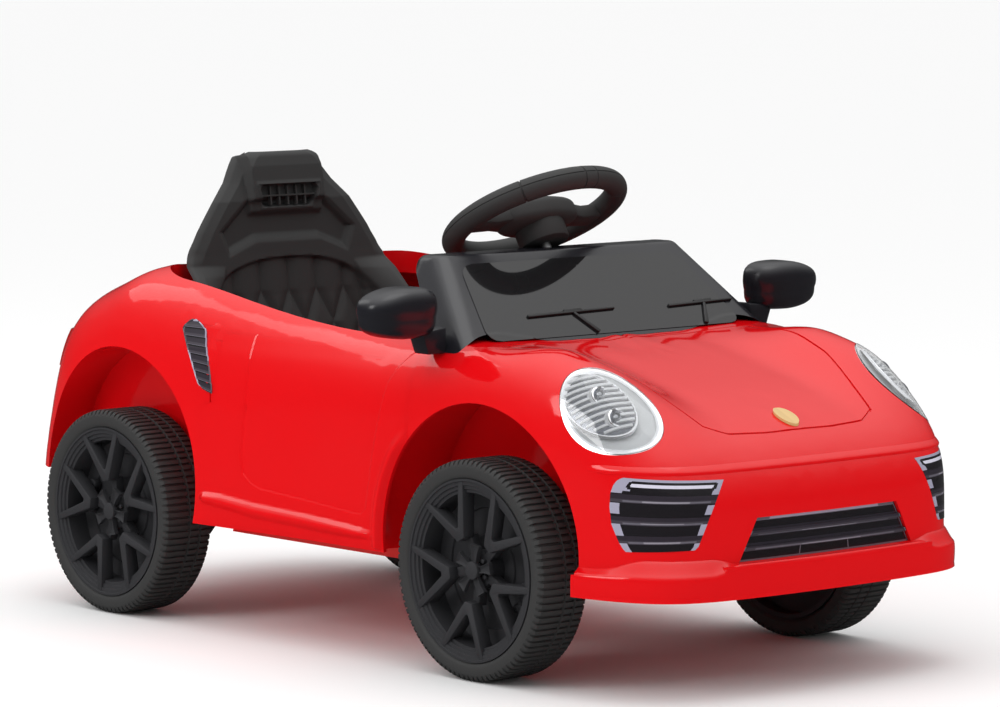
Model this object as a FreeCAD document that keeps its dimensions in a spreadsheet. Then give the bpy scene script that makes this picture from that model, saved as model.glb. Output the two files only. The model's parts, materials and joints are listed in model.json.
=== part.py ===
"""Electric ride-on car for a small child, in millimetres.

+X is forward, +Y is the car's left, +Z is up. The origin is on the floor, midway between nose and tail.
The red body is one hollow moulding over a chassis tub. Two motors drive the rear wheels, and a steering
wheel turns the front wheels through a column, a crank, a tie rod and two knuckles.
"""
import FreeCAD
import Part
import Sketcher
import math
import os
import re

Vector = FreeCAD.Vector
MIDDLE = Vector(0, 0, 0)
SIDES = (("left", 1), ("right", -1))

# Driving dimensions: one cell each, named in words.
SIZES = {
    # wheels and axles
    "wheel_dia": 232, "wheel_width": 66, "wheel_face_y": 262, "front_axle_x": 279, "rear_axle_x": -350,
    "rim_dia": 192, "rim_wall": 5, "hub_dia": 50, "axle_dia": 10, "running_gap": 0.05, "seat_gap": 0.2,
    "move_gap": 0.5, "tread_pitches": 36, "tread_slot": 4.5, "tread_depth": 3, "tread_rib": 7,
    "shoulder": 4, "spoke_count": 5, "spoke_width": 8, "spoke_depth": 10, "spoke_half_angle": 19,
    "spoke_set_back": 5, "web_plate": 6, "web_set_in": 18, "cap_dia": 36, "cap_depth": 5,
    "prong_reach": 30, "prong_width": 9, "hub_recess": 14, "hub_recess_dia": 22, "nut_across": 15,
    "nut_depth": 7, "coupler_dia": 60, "coupler_depth": 6,
    # body form
    "nose_x": 546, "tail_x": -532, "nose_height": 252, "bonnet_edge_x": 499, "bonnet_edge_height": 270,
    "lamp_crest_x": 387, "lamp_crest_height": 306, "cowl_base_x": 230, "cowl_base_height": 341,
    "door_x": -50, "door_height": 364, "rim_x": -335, "rim_height": 396, "deck_x": -404,
    "deck_height": 378, "tail_height": 340, "body_half_width": 250, "waist_draw_in": 10, "nose_bow": 18,
    "plan_squareness": 8, "foot_flare": 14, "tail_rake": 30, "section_squareness": 7, "fender_rise": 36,
    "fender_start_x": 80, "body_wall": 4, "skirt_bottom": 104, "sill_bottom": 118, "tail_bottom": 152,
    "tail_cut_x": -478,
    # openings and cut lines in the body
    "arch_dia": 300, "front_well_dia": 340, "rear_well_dia": 300, "front_arch_ahead": -4,
    "front_arch_up": 23, "rear_arch_ahead": 10, "rear_arch_up": 38, "front_well_y": 147,
    "rear_well_y": 184, "well_port_length": 170, "well_port_top": 190, "cockpit_rear_x": -368,
    "cockpit_front_x": 190, "cockpit_half_width": 203, "cockpit_rear_round": 100,
    "cockpit_front_round": 20, "cockpit_cut_low": 312, "rim_lip": 26, "cut_line_width": 2.4,
    "cut_line_depth": 1.6, "bonnet_line_front_x": 500, "bonnet_line_back_x": 242,
    "bonnet_line_half_width": 176, "bonnet_line_front_half": 122, "bonnet_line_draw_in": 26,
    "door_line_front_x": 96, "door_line_rear_x": -178, "door_line_low": 150, "door_line_high": 322,
    "door_line_cut": 34, "door_line_lean": 14, "lip_reach": 10, "lip_top": 127, "lip_start_x": 424,
    "lip_step_half": 150, "lip_step_top": 138,
    # lamps, grille and trim
    "lamp_x": 435, "lamp_y": 203, "lamp_z": 291, "lamp_long": 128, "lamp_wide": 84, "lamp_lean": 48,
    "lamp_turn": 24, "lamp_roll": 25, "lamp_wall": 6, "lamp_deep": 24, "lens_proud": 1, "lens_wall": 2.4,
    "bulb_dia": 26, "bulb_deep": 14, "bulb_spread": 32, "trim_wall": 2.5, "sticker_wall": 0.8,
    "grille_top": 184, "grille_low": 138, "grille_half_top": 101, "grille_half_low": 126, "grille_bar": 4,
    "fog_inner_top_y": 141, "fog_inner_low_y": 166, "fog_outer_top_y": 227, "fog_bulge_y": 231,
    "fog_outer_low_y": 222, "fog_top": 228, "fog_low": 158, "vent_top": 338, "vent_low": 267,
    "vent_front_x": -170, "vent_length": 24, "vent_lean": 8, "vent_spread": 17, "vent_slats": 7,
    "vent_slat": 4, "tail_lamp_y": 150, "tail_lamp_z": 290, "tail_lamp_length": 118, "tail_lamp_tall": 44,
    "badge_x": 481, "badge_long": 30, "badge_wide": 24,
    # windscreen cowl and dashboard
    "cowl_rear_x": 92, "cowl_foot_rear_x": 182, "cowl_front_x": 236, "cowl_half_width": 224,
    "cowl_low": 335, "cowl_top": 430, "cowl_top_front_x": 133, "cowl_top_half_width": 176,
    "cowl_round": 18, "cowl_edge_round": 12, "cowl_wall": 3, "dash_rear_x": 58, "dash_front_x": 91.5,
    "dash_deck_front_x": 181, "dash_half_width": 194, "dash_low": 262, "dash_wall": 3, "switch_y": 62,
    "switch_z": 318, "switch_wide": 16, "switch_tall": 28, "switch_deep": 9, "switch_proud": 3,
    "socket_y": -110, "socket_dia": 18, "socket_bore": 6, "socket_proud": 3, "socket_deep": 14,
    # chassis tub
    "tub_low": 104, "tub_wall": 4, "tub_top": 330, "tub_rear_x": -245, "tub_front_x": 96,
    "tub_half_width": 200, "foot_front_x": 165, "foot_half_width": 118, "foot_front_top": 298,
    "rear_deck_top": 182, "rear_deck_end_x": -505, "rear_deck_half": 174, "hanger_y": 128,
    "hanger_width": 44, "front_deck_low": 165, "front_deck_end_x": 400, "front_deck_half": 110,
    "ear_length": 44, "ear_reach_y": 185,
    # seat
    "seat_front_x": -140, "seat_rear_x": -345, "seat_low": 214, "seat_high": 246, "seat_half_width": 148,
    "seat_top_z": 516, "seat_top_half": 52, "seat_neck_z": 448, "seat_neck_half": 99,
    "seat_shoulder_z": 385, "seat_top_front_x": -362, "seat_neck_front_x": -346,
    "seat_shoulder_front_x": -328, "seat_base_front_x": -300, "seat_thick": 36, "seat_wall": 4,
    "seat_round": 10, "seat_skirt_x": -252, "bolster_rise": 14, "bolster_width": 34, "bolster_slope": 14,
    "seat_top_thick": 27, "channel_count": 5, "channel_pitch": 41, "channel_width": 3,
    "channel_depth": 2.5, "grid_columns": 6, "grid_pitch": 12.7, "grid_hole": 9.5, "grid_depth": 3,
    "grid_z": 466,
    # mirrors
    "mirror_x": 186, "mirror_y": 280, "mirror_z": 380, "mirror_half_x": 30, "mirror_half_y": 40,
    "mirror_half_z": 27, "mirror_flat": 12, "glass_margin": 4, "glass_wall": 2, "stalk_dia": 16,
    "stalk_foot_y": 226, "stalk_lean": 36, "stalk_length": 58,
    # steering
    "wheel_hub_x": 89, "wheel_hub_z": 463.5, "column_lean": 29, "rim_ring_dia": 188, "grip_dia": 25,
    "boss_dia": 56, "boss_depth": 28, "spoke_pod_width": 34, "spoke_pod_depth": 13, "button_dia": 19,
    "button_y": 50, "button_proud": 3, "button_deep": 5, "column_dia": 12, "column_length": 362,
    "crank_arm": 28, "crank_plate": 6, "crank_up": 4, "crank_pin_dia": 8, "crank_pin_length": 24,
    "kingpin_y": 169, "kingpin_dia": 12, "knuckle_half": 14, "bracket_height": 22, "knuckle_low": 92,
    "steer_arm": 45, "steer_arm_low": 130, "steer_arm_wall": 6, "steer_pin_dia": 7, "steer_pin_drop": 14,
    "tie_rod_low": 122, "tie_rod_wall": 4, "tie_rod_width": 20, "slot_play": 0.8, "slot_run": 3.4,
    # drive
    "gearbox_rear": 36, "gearbox_ahead": 76, "gearbox_below": 32, "gearbox_inner_y": 142,
    "gearbox_outer_y": 184, "output_dia": 48, "motor_dia": 36, "motor_length": 58, "motor_ahead": 48,
    "motor_up": 34, "battery_length": 70, "battery_width": 90, "battery_height": 98, "battery_x": -198,
    "control_x": 340, "control_length": 80, "control_width": 110, "control_height": 38,
    # accelerator pedal
    "pedal_x": 70, "pedal_y": -62, "pedal_width": 62, "pedal_length": 78, "pedal_wall": 7,
    "pedal_lean": 36, "pedal_pin_dia": 6, "pedal_pin_up": 9, "pedal_barrel_dia": 12, "pedal_ear": 8,
    "pedal_base_wall": 3, "pedal_grooves": 5, "pedal_groove": 4,
}

doc = FreeCAD.newDocument("ride_on_car")
sheet = doc.addObject("Spreadsheet::Sheet", "dims")
for row, (alias, number) in enumerate(SIZES.items(), start=1):
    sheet.set(f"A{row}", alias)
    sheet.set(f"B{row}", str(number))
    sheet.setAlias(f"B{row}", alias)
doc.recompute()
SIZE = {alias: float(sheet.get(alias)) for alias in SIZES}
NODES = []


def tie(text):
    """The expression with every sheet name given its sheet."""
    return re.sub(r"[a-z][a-z_0-9]*", lambda m: "dims." + m[0] if m[0] in SIZES else m[0], text)


def worth(text):
    """What an expression of sheet names comes to, as a number."""
    return float(sheet.evalExpression(tie(text)))


def bind(thing, **sizes):
    """Bind properties of a document object to expressions of sheet names."""
    for name, text in sizes.items():
        thing.setExpression(name, tie(text))


def place(thing, x="0", y="0", z="0", turn=None):
    """Bind an object's place to the sheet, with an optional fixed (axis, degrees) turn."""
    if turn:
        thing.Placement = FreeCAD.Placement(MIDDLE, FreeCAD.Rotation(*turn))
    for axis, text in zip("xyz", (x, y, z)):
        thing.setExpression(f"Placement.Base.{axis}", tie(text))
    return thing


def node(thing, label):
    """Name a finished sub-part: the label is its file's name."""
    thing.Label = label
    NODES.append(thing)
    return thing


def feature(label, shape, keep=True):
    """A sub-part, or a tool for one, whose shape is worked out below from the sheet."""
    thing = doc.addObject("Part::Feature", label)
    thing.Shape = shape
    thing.Placement = FreeCAD.Placement()
    return node(thing, label) if keep else thing


def box(name, x, y, z):
    """A Part::Box between two expressions along each axis."""
    thing = doc.addObject("Part::Box", name)
    for prop, axis, (low, high) in zip(("Length", "Width", "Height"), "xyz", (x, y, z)):
        thing.setExpression(prop, tie(f"({high}) - ({low})"))
        thing.setExpression(f"Placement.Base.{axis}", tie(low))
    return thing


def rod(name, radius, length, x="0", y="0", z="0", along="z"):
    """A Part::Cylinder that starts at a place and runs along an axis."""
    thing = doc.addObject("Part::Cylinder", name)
    bind(thing, Radius=radius, Height=length)
    turns = {"z": None, "y": (Vector(1, 0, 0), -90), "x": (Vector(0, 1, 0), 90)}
    return place(thing, x, y, z, turns[along])


def fuse(name, *things):
    """One solid of several."""
    thing = doc.addObject("Part::MultiFuse", name)
    thing.Shapes = list(things)
    thing.Refine = True
    return thing


def cut(name, base, *tools):
    """A base with tools taken out of it."""
    thing = doc.addObject("Part::Cut", name)
    thing.Base = base
    thing.Tool = tools[0] if len(tools) == 1 else fuse(name + "_tools", *tools)
    thing.Refine = True
    return thing


def common(name, base, tool):
    """What two solids share."""
    thing = doc.addObject("Part::Common", name)
    thing.Base = base
    thing.Tool = tool
    return thing


def plane_of(body, role):
    """One of a body's own origin planes or axes."""
    return next(f for f in body.Origin.OriginFeatures if f.Role == role)


def sketch_on(body, name, role, outlines=(), circles=(), offset="0"):
    """A sketch of closed straight-run outlines and circles, each corner and radius tied to the sheet."""
    sketch = body.newObject("Sketcher::SketchObject", name)
    sketch.AttachmentSupport = [(plane_of(body, role), "")]
    sketch.MapMode = "FlatFace"
    sketch.setExpression("AttachmentOffset.Base.z", tie(offset))
    for corners in outlines:
        spots = [Vector(worth(u), worth(v), 0) for u, v in corners]
        first = sketch.GeometryCount
        for i, spot in enumerate(spots):
            sketch.addGeometry(Part.LineSegment(spot, spots[(i + 1) % len(spots)]), False)
        for i, (u, v) in enumerate(corners):
            here = first + i
            sketch.addConstraint(Sketcher.Constraint("Coincident", here, 2, first + (i + 1) % len(spots), 1))
            for kind, text, number in (("DistanceX", u, spots[i].x), ("DistanceY", v, spots[i].y)):
                held = sketch.addConstraint(Sketcher.Constraint(kind, -1, 1, here, 1, number))
                sketch.setExpression(f"Constraints[{held}]", tie(text))
    for u, v, radius in circles:
        spot = Vector(worth(u), worth(v), 0)
        here = sketch.addGeometry(Part.Circle(spot, Vector(0, 0, 1), worth(radius)), False)
        held = sketch.addConstraint(Sketcher.Constraint("Radius", here, worth(radius)))
        sketch.setExpression(f"Constraints[{held}]", tie(radius))
        for kind, text, number in (("DistanceX", u, spot.x), ("DistanceY", v, spot.y)):
            held = sketch.addConstraint(Sketcher.Constraint(kind, -1, 1, here, 3, number))
            sketch.setExpression(f"Constraints[{held}]", tie(text))
    return sketch


def pad(body, sketch, length, reverse=False):
    """Pad a sketch along its normal, or against it."""
    thing = body.newObject("PartDesign::Pad", sketch.Name + "_pad")
    thing.Profile = sketch
    thing.Reversed = reverse
    bind(thing, Length=length)
    return thing


def pocket(body, sketch, length, reverse=False):
    """Cut a sketch into the body against its normal, or along it, and make sure that it cut something."""
    doc.recompute()
    before = body.Shape.Volume
    thing = body.newObject("PartDesign::Pocket", sketch.Name + "_pocket")
    thing.Profile = sketch
    thing.Reversed = reverse
    bind(thing, Length=length)
    doc.recompute()
    if body.Shape.Volume > before - 1e-6:
        raise RuntimeError(f"{sketch.Name} cuts nothing")
    return thing


def revolve(body, sketch, axis):
    """Turn a sketch a full round about one of its own axes."""
    thing = body.newObject("PartDesign::Revolution", sketch.Name + "_round")
    thing.Profile = sketch
    thing.ReferenceAxis = (sketch, [axis])
    thing.Angle = 360
    return thing


def ring_of(body, feature_made, count, role):
    """Repeat a feature evenly round one of the body's axes."""
    thing = body.newObject("PartDesign::PolarPattern", feature_made.Name + "_ring")
    thing.Originals = [feature_made]
    thing.Axis = (plane_of(body, role), [""])
    thing.Angle = 360
    bind(thing, Occurrences=count)
    body.Tip = thing
    return thing


# The body's smooth form, which the shell and all that lies along it share


def power_of(base, power):
    """A power that takes a rounding remainder for nothing."""
    return base ** power if base > 1e-9 else 0.0


def ease(share):
    """A smooth step from 0 to 1."""
    share = min(1.0, max(0.0, share))
    return share * share * (3 - 2 * share)


TOP_LINE = [
    (SIZE[at], SIZE[height])
    for at, height in (
        ("tail_x", "tail_height"),
        ("deck_x", "deck_height"),
        ("rim_x", "rim_height"),
        ("door_x", "door_height"),
        ("cowl_base_x", "cowl_base_height"),
        ("lamp_crest_x", "lamp_crest_height"),
        ("bonnet_edge_x", "bonnet_edge_height"),
        ("nose_x", "nose_height"),
    )
]


def top_height(x):
    """The height of the body's middle line at x, a smooth line with no overshoot between its stations."""
    xs, zs = zip(*TOP_LINE)
    rises = [(b - a) / (q - p) for p, q, a, b in zip(xs, xs[1:], zs, zs[1:])]
    inner = [2 * a * b / (a + b) if a * b > 0 else 0.0 for a, b in zip(rises, rises[1:])]
    slopes = [rises[0], *inner, rises[-1]]
    x = min(xs[-1], max(xs[0], x))
    i = max(k for k in range(len(xs) - 1) if xs[k] <= x)
    run = xs[i + 1] - xs[i]
    k = (x - xs[i]) / run
    start = zs[i] * (1 + 2 * k) + slopes[i] * run * k
    end = zs[i + 1] * (3 - 2 * k) - slopes[i + 1] * run * (1 - k)
    return start * (1 - k) ** 2 + end * k * k


def half_width(x):
    """Half the body's width at x: full at the wheels, drawn in at the doors."""
    front, rear = SIZE["front_axle_x"], SIZE["rear_axle_x"]
    draw = SIZE["waist_draw_in"] / 2
    return SIZE["body_half_width"] - draw + draw * math.cos(2 * math.pi * (x - front) / (front - rear))


def plan_point(turn, inset):
    """A point of the body's plan, a squared oval with a bowed nose and tail."""
    forward, aside = math.cos(turn), abs(math.sin(turn))
    power = 2 / SIZE["plan_squareness"]
    reach = (SIZE["nose_x"] if forward > 0 else -SIZE["tail_x"]) - inset
    x = math.copysign(reach * power_of(abs(forward), power), forward)
    y = (half_width(x) - inset) * power_of(aside, power)
    bow = SIZE["nose_bow"] * (y / SIZE["body_half_width"]) ** 2 * min(1.0, 3 * abs(forward))
    return x - math.copysign(bow, forward), y


def spread(points, count):
    """Evenly spaced points along a dense line of points."""
    gone = [0.0]
    for a, b in zip(points, points[1:]):
        gone.append(gone[-1] + a.distanceToPoint(b))
    marks = [gone[-1] * i / (count - 1) for i in range(count)]
    found = []
    k = 0
    for mark in marks:
        while k < len(gone) - 2 and gone[k + 1] < mark:
            k += 1
        share = (mark - gone[k]) / (gone[k + 1] - gone[k])
        found.append(points[k] + (points[k + 1] - points[k]) * share)
    return found


STATIONS = 45
RUNGS = 17
DENSE = 400
SPINE_SHARE = 0.55
CREST = (0.35, 0.8)


def spread_foot(point, top):
    """A point of the form moved out: low down, the body flares to the rear and its tail is raked."""
    low = ease((top - point.z) / (top - SIZE["skirt_bottom"]))
    front, rear, tail = SIZE["front_axle_x"], SIZE["rear_axle_x"], SIZE["tail_x"]
    flare = SIZE["foot_flare"] * low * ease((front - point.x) / (front - rear))
    rake = SIZE["tail_rake"] * low * ease((rear - point.x) / (rear - tail))
    return Vector(point.x - rake, point.y * (1 + flare / SIZE["body_half_width"]), point.z)


def rib(foot, inset, floor):
    """A line of the form from its foot on the plan, up the side and in to the spine."""
    spine_x = SPINE_SHARE * foot.x
    power = 2 / SIZE["section_squareness"]
    points = []
    for i in range(DENSE + 1):
        turn = math.pi / 2 * i / DENSE
        out = power_of(math.cos(turn), power)
        up = power_of(math.sin(turn), power)
        x = spine_x + out * (foot.x - spine_x)
        y = out * foot.y
        before, crest, after = SIZE["fender_start_x"], SIZE["lamp_crest_x"], SIZE["nose_x"]
        along = ease((x - before) / (crest - before)) if x < crest else ease((after - x) / (after - crest))
        across = ease((y / half_width(x) - CREST[0]) / (CREST[1] - CREST[0]))
        top = top_height(x) + SIZE["fender_rise"] * along * across - inset
        z = floor + (top - floor) * up
        points.append(spread_foot(Vector(x, y, z), top))
    return spread(points, RUNGS)


def form(inset=0.0, floor=None):
    """The closed body form, moved inwards by an inset, standing on a flat floor."""
    floor = SIZE["skirt_bottom"] if floor is None else floor
    dense = [Vector(*plan_point(math.pi * i / DENSE, inset), 0) for i in range(DENSE + 1)]
    skin = Part.BSplineSurface()
    skin.interpolate([rib(foot, inset, floor) for foot in spread(dense, STATIONS)])
    side = skin.toShape()
    foot = min(side.Edges, key=lambda e: e.CenterOfMass.z)
    base = Part.Face(Part.Wire([foot, Part.makeLine(*[v.Point for v in foot.Vertexes])]))
    half = Part.Compound([side, base])
    skin_set = Part.Compound([half, half.mirror(MIDDLE, Vector(0, 1, 0))])
    skin_set.sewShape()
    solid = Part.Solid(skin_set.Shells[0])
    if solid.Volume < 0:
        solid.reverse()
    return solid


def slab(low, high, reach=1000):
    """A wide flat slab between two heights."""
    return Part.makeBox(2 * reach, 2 * reach, high - low, Vector(-reach, -reach, low))


def block(x, y, z):
    """A plain block between two numbers along each axis."""
    return Part.makeBox(x[1] - x[0], y[1] - y[0], z[1] - z[0], Vector(x[0], y[0], z[0]))


def prism(corners, along):
    """A straight-sided solid: an outline of points pushed along a vector."""
    return Part.Face(Part.makePolygon([*corners, corners[0]])).extrude(along)


def both_sides(shape):
    """A left-hand tool and its right-hand mirror image, as one."""
    return shape.fuse(shape.mirror(MIDDLE, Vector(0, 1, 0)))


def on_side(shape, hand):
    """A left-hand shape, mirrored for the right."""
    return shape if hand > 0 else shape.mirror(MIDDLE, Vector(0, 1, 0))


WALL = SIZE["body_wall"]
GAP = SIZE["seat_gap"]
REACH = 400.0
OUTER = form()
AXLE_Z = SIZE["wheel_dia"] / 2


FORMS = {}


def depth_form(inset):
    """The body form at a depth below the skin, worked out once; a negative depth stands proud of it."""
    if inset not in FORMS:
        FORMS[inset] = form(inset, SIZE["skirt_bottom"] - REACH / 40)
    return FORMS[inset]


def along_skin(tool, start, end):
    """The part of a tool that lies along the body's surface between two depths."""
    return tool.common(depth_form(start)).cut(depth_form(end))


def well(end, radius, ahead, up, inner_y):
    """The round space of a wheel arch on the left, from an inner wall out past the skin."""
    centre = Vector(SIZE[end] + SIZE[ahead], inner_y, AXLE_Z + SIZE[up])
    return Part.makeCylinder(radius, REACH, centre, Vector(0, 1, 0))


ARCHES = (
    ("front_axle_x", "front_arch_ahead", "front_arch_up", "front_well_y", SIZE["front_well_dia"] / 2),
    ("rear_axle_x", "rear_arch_ahead", "rear_arch_up", "rear_well_y", SIZE["rear_well_dia"] / 2),
)
ARCH_R = SIZE["arch_dia"] / 2


def cockpit_outline(grow):
    """The cockpit opening in plan, with rounded corners, moved out by grow."""
    wide = SIZE["cockpit_half_width"] + grow
    rear = SIZE["cockpit_rear_x"] - grow
    front = SIZE["cockpit_front_x"] + grow
    low = SIZE["cockpit_cut_low"]
    plan = block((rear, front), (-wide, wide), (low, low + REACH))
    upright = [e for e in plan.Edges if abs(e.tangentAt(e.FirstParameter).z) > 0.9]
    rear_edges = [e for e in upright if e.CenterOfMass.x < 0]
    plan = plan.makeFillet(SIZE["cockpit_rear_round"] + grow, rear_edges)
    front_edges = [e for e in plan.Edges
                   if abs(e.tangentAt(e.FirstParameter).z) > 0.9 and e.CenterOfMass.x > front - 1]
    return plan.makeFillet(SIZE["cockpit_front_round"] + grow, front_edges)


def lamp_axes():
    """The left headlamp's middle, the way it looks out, and the long way of its oval, rolled outwards."""
    lean, turn, roll = (math.radians(SIZE[name]) for name in ("lamp_lean", "lamp_turn", "lamp_roll"))
    look = Vector(math.cos(lean) * math.cos(turn), math.cos(lean) * math.sin(turn), math.sin(lean))
    aside = Vector(-math.sin(turn), math.cos(turn), 0)
    centre = Vector(SIZE["lamp_x"], SIZE["lamp_y"], SIZE["lamp_z"])
    return centre, look, look.cross(aside) * math.cos(roll) + aside * math.sin(roll)


def lamp_prism(grow):
    """The left headlamp's oval, pushed through the fender along its own view."""
    centre, look, upward = lamp_axes()
    oval = Part.Ellipse(MIDDLE, SIZE["lamp_long"] / 2 + grow, SIZE["lamp_wide"] / 2 + grow)
    deep = 2 * SIZE["lamp_deep"]
    tube = Part.Face(Part.Wire([oval.toShape()])).extrude(Vector(0, 0, 2 * deep))
    turn = FreeCAD.Rotation(upward, look.cross(upward), look, "ZXY")
    tube.Placement = FreeCAD.Placement(centre - look * deep, turn)
    return tube


def grille_prism(grow):
    """The lower grille's window, wider at its foot, pushed along the car."""
    high, low = SIZE["grille_top"] + grow, SIZE["grille_low"] - grow
    top, foot = SIZE["grille_half_top"] + grow, SIZE["grille_half_low"] + grow
    start = SIZE["lip_start_x"]
    return prism([Vector(start, -foot, low), Vector(start, foot, low), Vector(start, top, high),
                  Vector(start, -top, high)], Vector(REACH, 0, 0))


def fog_prism(grow):
    """The left fog panel's outline, bulged at its outer edge, pushed along the car."""
    high, low = SIZE["fog_top"] + grow, SIZE["fog_low"] - grow
    edge = [(SIZE["fog_inner_low_y"] - grow, low), (SIZE["fog_outer_low_y"] + grow, low),
            (SIZE["fog_bulge_y"] + grow, (high + low) / 2), (SIZE["fog_outer_top_y"] + grow, high),
            (SIZE["fog_inner_top_y"] - grow, high)]
    return prism([Vector(SIZE["lip_start_x"], y, z) for y, z in edge], Vector(REACH, 0, 0))


def vent_corners(grow, low, high):
    """Corners of a level band of the side vent, which narrows and leans forward as it comes down."""
    tall = SIZE["vent_top"] - SIZE["vent_low"]
    spots = []
    for z in (low, high):
        share = (z - SIZE["vent_low"]) / tall
        front = SIZE["vent_front_x"] - SIZE["vent_lean"] * share
        rear = front - SIZE["vent_length"] - SIZE["vent_spread"] * share
        spots.append((rear - grow, front + grow, z))
    (a, b, c), (d, e, f) = spots
    start = SIZE["cockpit_half_width"]
    return [Vector(a, start, c), Vector(b, start, c), Vector(e, start, f), Vector(d, start, f)]


def vent_prism(grow):
    """The left side vent's window, pushed out through the skin."""
    return prism(vent_corners(grow, SIZE["vent_low"] - grow, SIZE["vent_top"] + grow), Vector(0, REACH, 0))


def line_ring(corners, along):
    """A thin wall that follows a closed outline, for a moulded cut line."""
    wire = Part.makePolygon([*corners, corners[0]])
    outer = Part.Face(wire.makeOffset2D(SIZE["cut_line_width"] / 2))
    inner = Part.Face(wire.makeOffset2D(-SIZE["cut_line_width"] / 2))
    return outer.cut(inner).extrude(along)


def cut_lines():
    """Moulded lines round the bonnet and the doors."""
    front, back = SIZE["bonnet_line_front_x"], SIZE["bonnet_line_back_x"]
    wide, tip = SIZE["bonnet_line_half_width"], SIZE["bonnet_line_front_half"]
    corner = (front - back) / 16
    knee = (SIZE["lamp_crest_x"], wide - SIZE["bonnet_line_draw_in"])
    edge = [(back, wide), knee, (front - corner, tip), (front - corner / 4, tip * 0.8), (front, tip * 0.4)]
    half = [Vector(x, y, 0) for x, y in edge]
    bonnet = half + [Vector(p.x, -p.y, 0) for p in reversed(half)]
    ahead, behind = SIZE["door_line_front_x"], SIZE["door_line_rear_x"]
    low, high = SIZE["door_line_low"], SIZE["door_line_high"]
    level = SIZE["cockpit_half_width"]
    chop, lean = SIZE["door_line_cut"], SIZE["door_line_lean"]
    outline = [(behind + chop, low), (ahead - chop / 2, low), (ahead, low + chop), (ahead + lean, high),
               (behind, high), (behind + lean, low + chop)]
    door = [Vector(x, level, z) for x, z in outline]
    rings = line_ring(bonnet, Vector(0, 0, 2 * REACH)).fuse(both_sides(line_ring(door, Vector(0, REACH, 0))))
    return along_skin(rings, -SIZE["lens_proud"], SIZE["cut_line_depth"])


def body_shell():
    """The red moulding: skin, wheel wells, cockpit rim, front lip and the windows for lamps and grilles."""
    inner = depth_form(WALL)
    shell = OUTER.cut(inner)
    lip_form = form(-SIZE["lip_reach"])
    start = SIZE["lip_start_x"]
    lip = lip_form.common(block((start, REACH * 2), (-REACH, REACH), (SIZE["skirt_bottom"], SIZE["lip_top"])))
    step = SIZE["lip_step_half"]
    rise = block((start, REACH * 2), (-step, step), (SIZE["lip_top"], SIZE["lip_step_top"]))
    shell = shell.fuse(lip.fuse(lip_form.common(rise)).cut(inner))
    rim = cockpit_outline(WALL).cut(cockpit_outline(0)).common(OUTER)
    shell = shell.fuse(rim.cut(OUTER.translated(Vector(0, 0, -SIZE["rim_lip"]))))
    for end, ahead, up, inner_y, radius in ARCHES:
        walls = well(end, radius + WALL, ahead, up, SIZE[inner_y] - WALL)
        shell = shell.fuse(both_sides(walls).common(OUTER))
    for end, ahead, up, inner_y, radius in ARCHES:
        space = both_sides(well(end, radius, ahead, up, SIZE[inner_y]))
        shell = shell.cut(space.common(inner)).cut(both_sides(well(end, ARCH_R, ahead, up, SIZE[inner_y])))
        port = SIZE["well_port_length"] / 2
        length = (SIZE[end] - port, SIZE[end] + port)
        shell = shell.cut(block(length, (-REACH / 2, REACH / 2), (0, SIZE["well_port_top"])))
    under = block((SIZE["tail_cut_x"], SIZE["lip_start_x"]), (-REACH, REACH), (0, SIZE["sill_bottom"]))
    under = under.fuse(block((-2 * REACH, SIZE["tail_cut_x"]), (-REACH, REACH), (0, SIZE["tail_bottom"])))
    shell = shell.cut(under).cut(cockpit_outline(0))
    for tool in (both_sides(lamp_prism(0)), grille_prism(0), both_sides(vent_prism(0)), cut_lines()):
        shell = shell.cut(tool)
    return max(shell.Solids, key=lambda s: s.Volume)


def fitted(shape):
    """A piece with what would run into the finished shell taken off it."""
    return max(shape.cut(SHELL).Solids, key=lambda s: s.Volume)


def skin_plate(tool, out, thick):
    """A thin plate on the skin: the form moved out by a small gap, and by the plate's own wall as well."""
    out = Vector(out).normalize()
    plate = tool.common(OUTER.translated(out * (thick + GAP / 2))).cut(OUTER.translated(out * (GAP / 2)))
    return max(plate.Solids, key=lambda s: s.Volume)


def lamp_parts(label, hand):
    """A headlamp: a dished housing behind the skin and a clear lens on the fender. Returns its lamps."""
    wall = SIZE["lamp_wall"]
    deep = SIZE["lamp_deep"]
    cup = along_skin(lamp_prism(wall), WALL + GAP, deep)
    hollow = lamp_prism(-wall / 2).cut(depth_form(deep - wall / 2))
    end, ahead, up, inner_y, radius = ARCHES[0]
    arch = well(end, radius + WALL + GAP, ahead, up, SIZE[inner_y] - WALL - GAP)
    feature(f"headlamp_housing_{label}", on_side(fitted(cup.cut(hollow).cut(arch)), hand))
    centre, look, upward = lamp_axes()
    floor_face = deep - wall / 2 - GAP
    bulbs = []
    for step in (-SIZE["bulb_spread"] / 2, SIZE["bulb_spread"] / 2):
        start = centre + upward * step - look * REACH / 4
        tube = Part.makeCylinder(SIZE["bulb_dia"] / 2, REACH / 2, start, look)
        bulbs.append(along_skin(tube, floor_face - SIZE["bulb_deep"], floor_face))
    lens = along_skin(lamp_prism(-GAP), -SIZE["lens_proud"], SIZE["lens_wall"])
    feature(f"headlamp_lens_{label}", on_side(lens, hand))
    return [on_side(bulb, hand) for bulb in bulbs]


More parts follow.
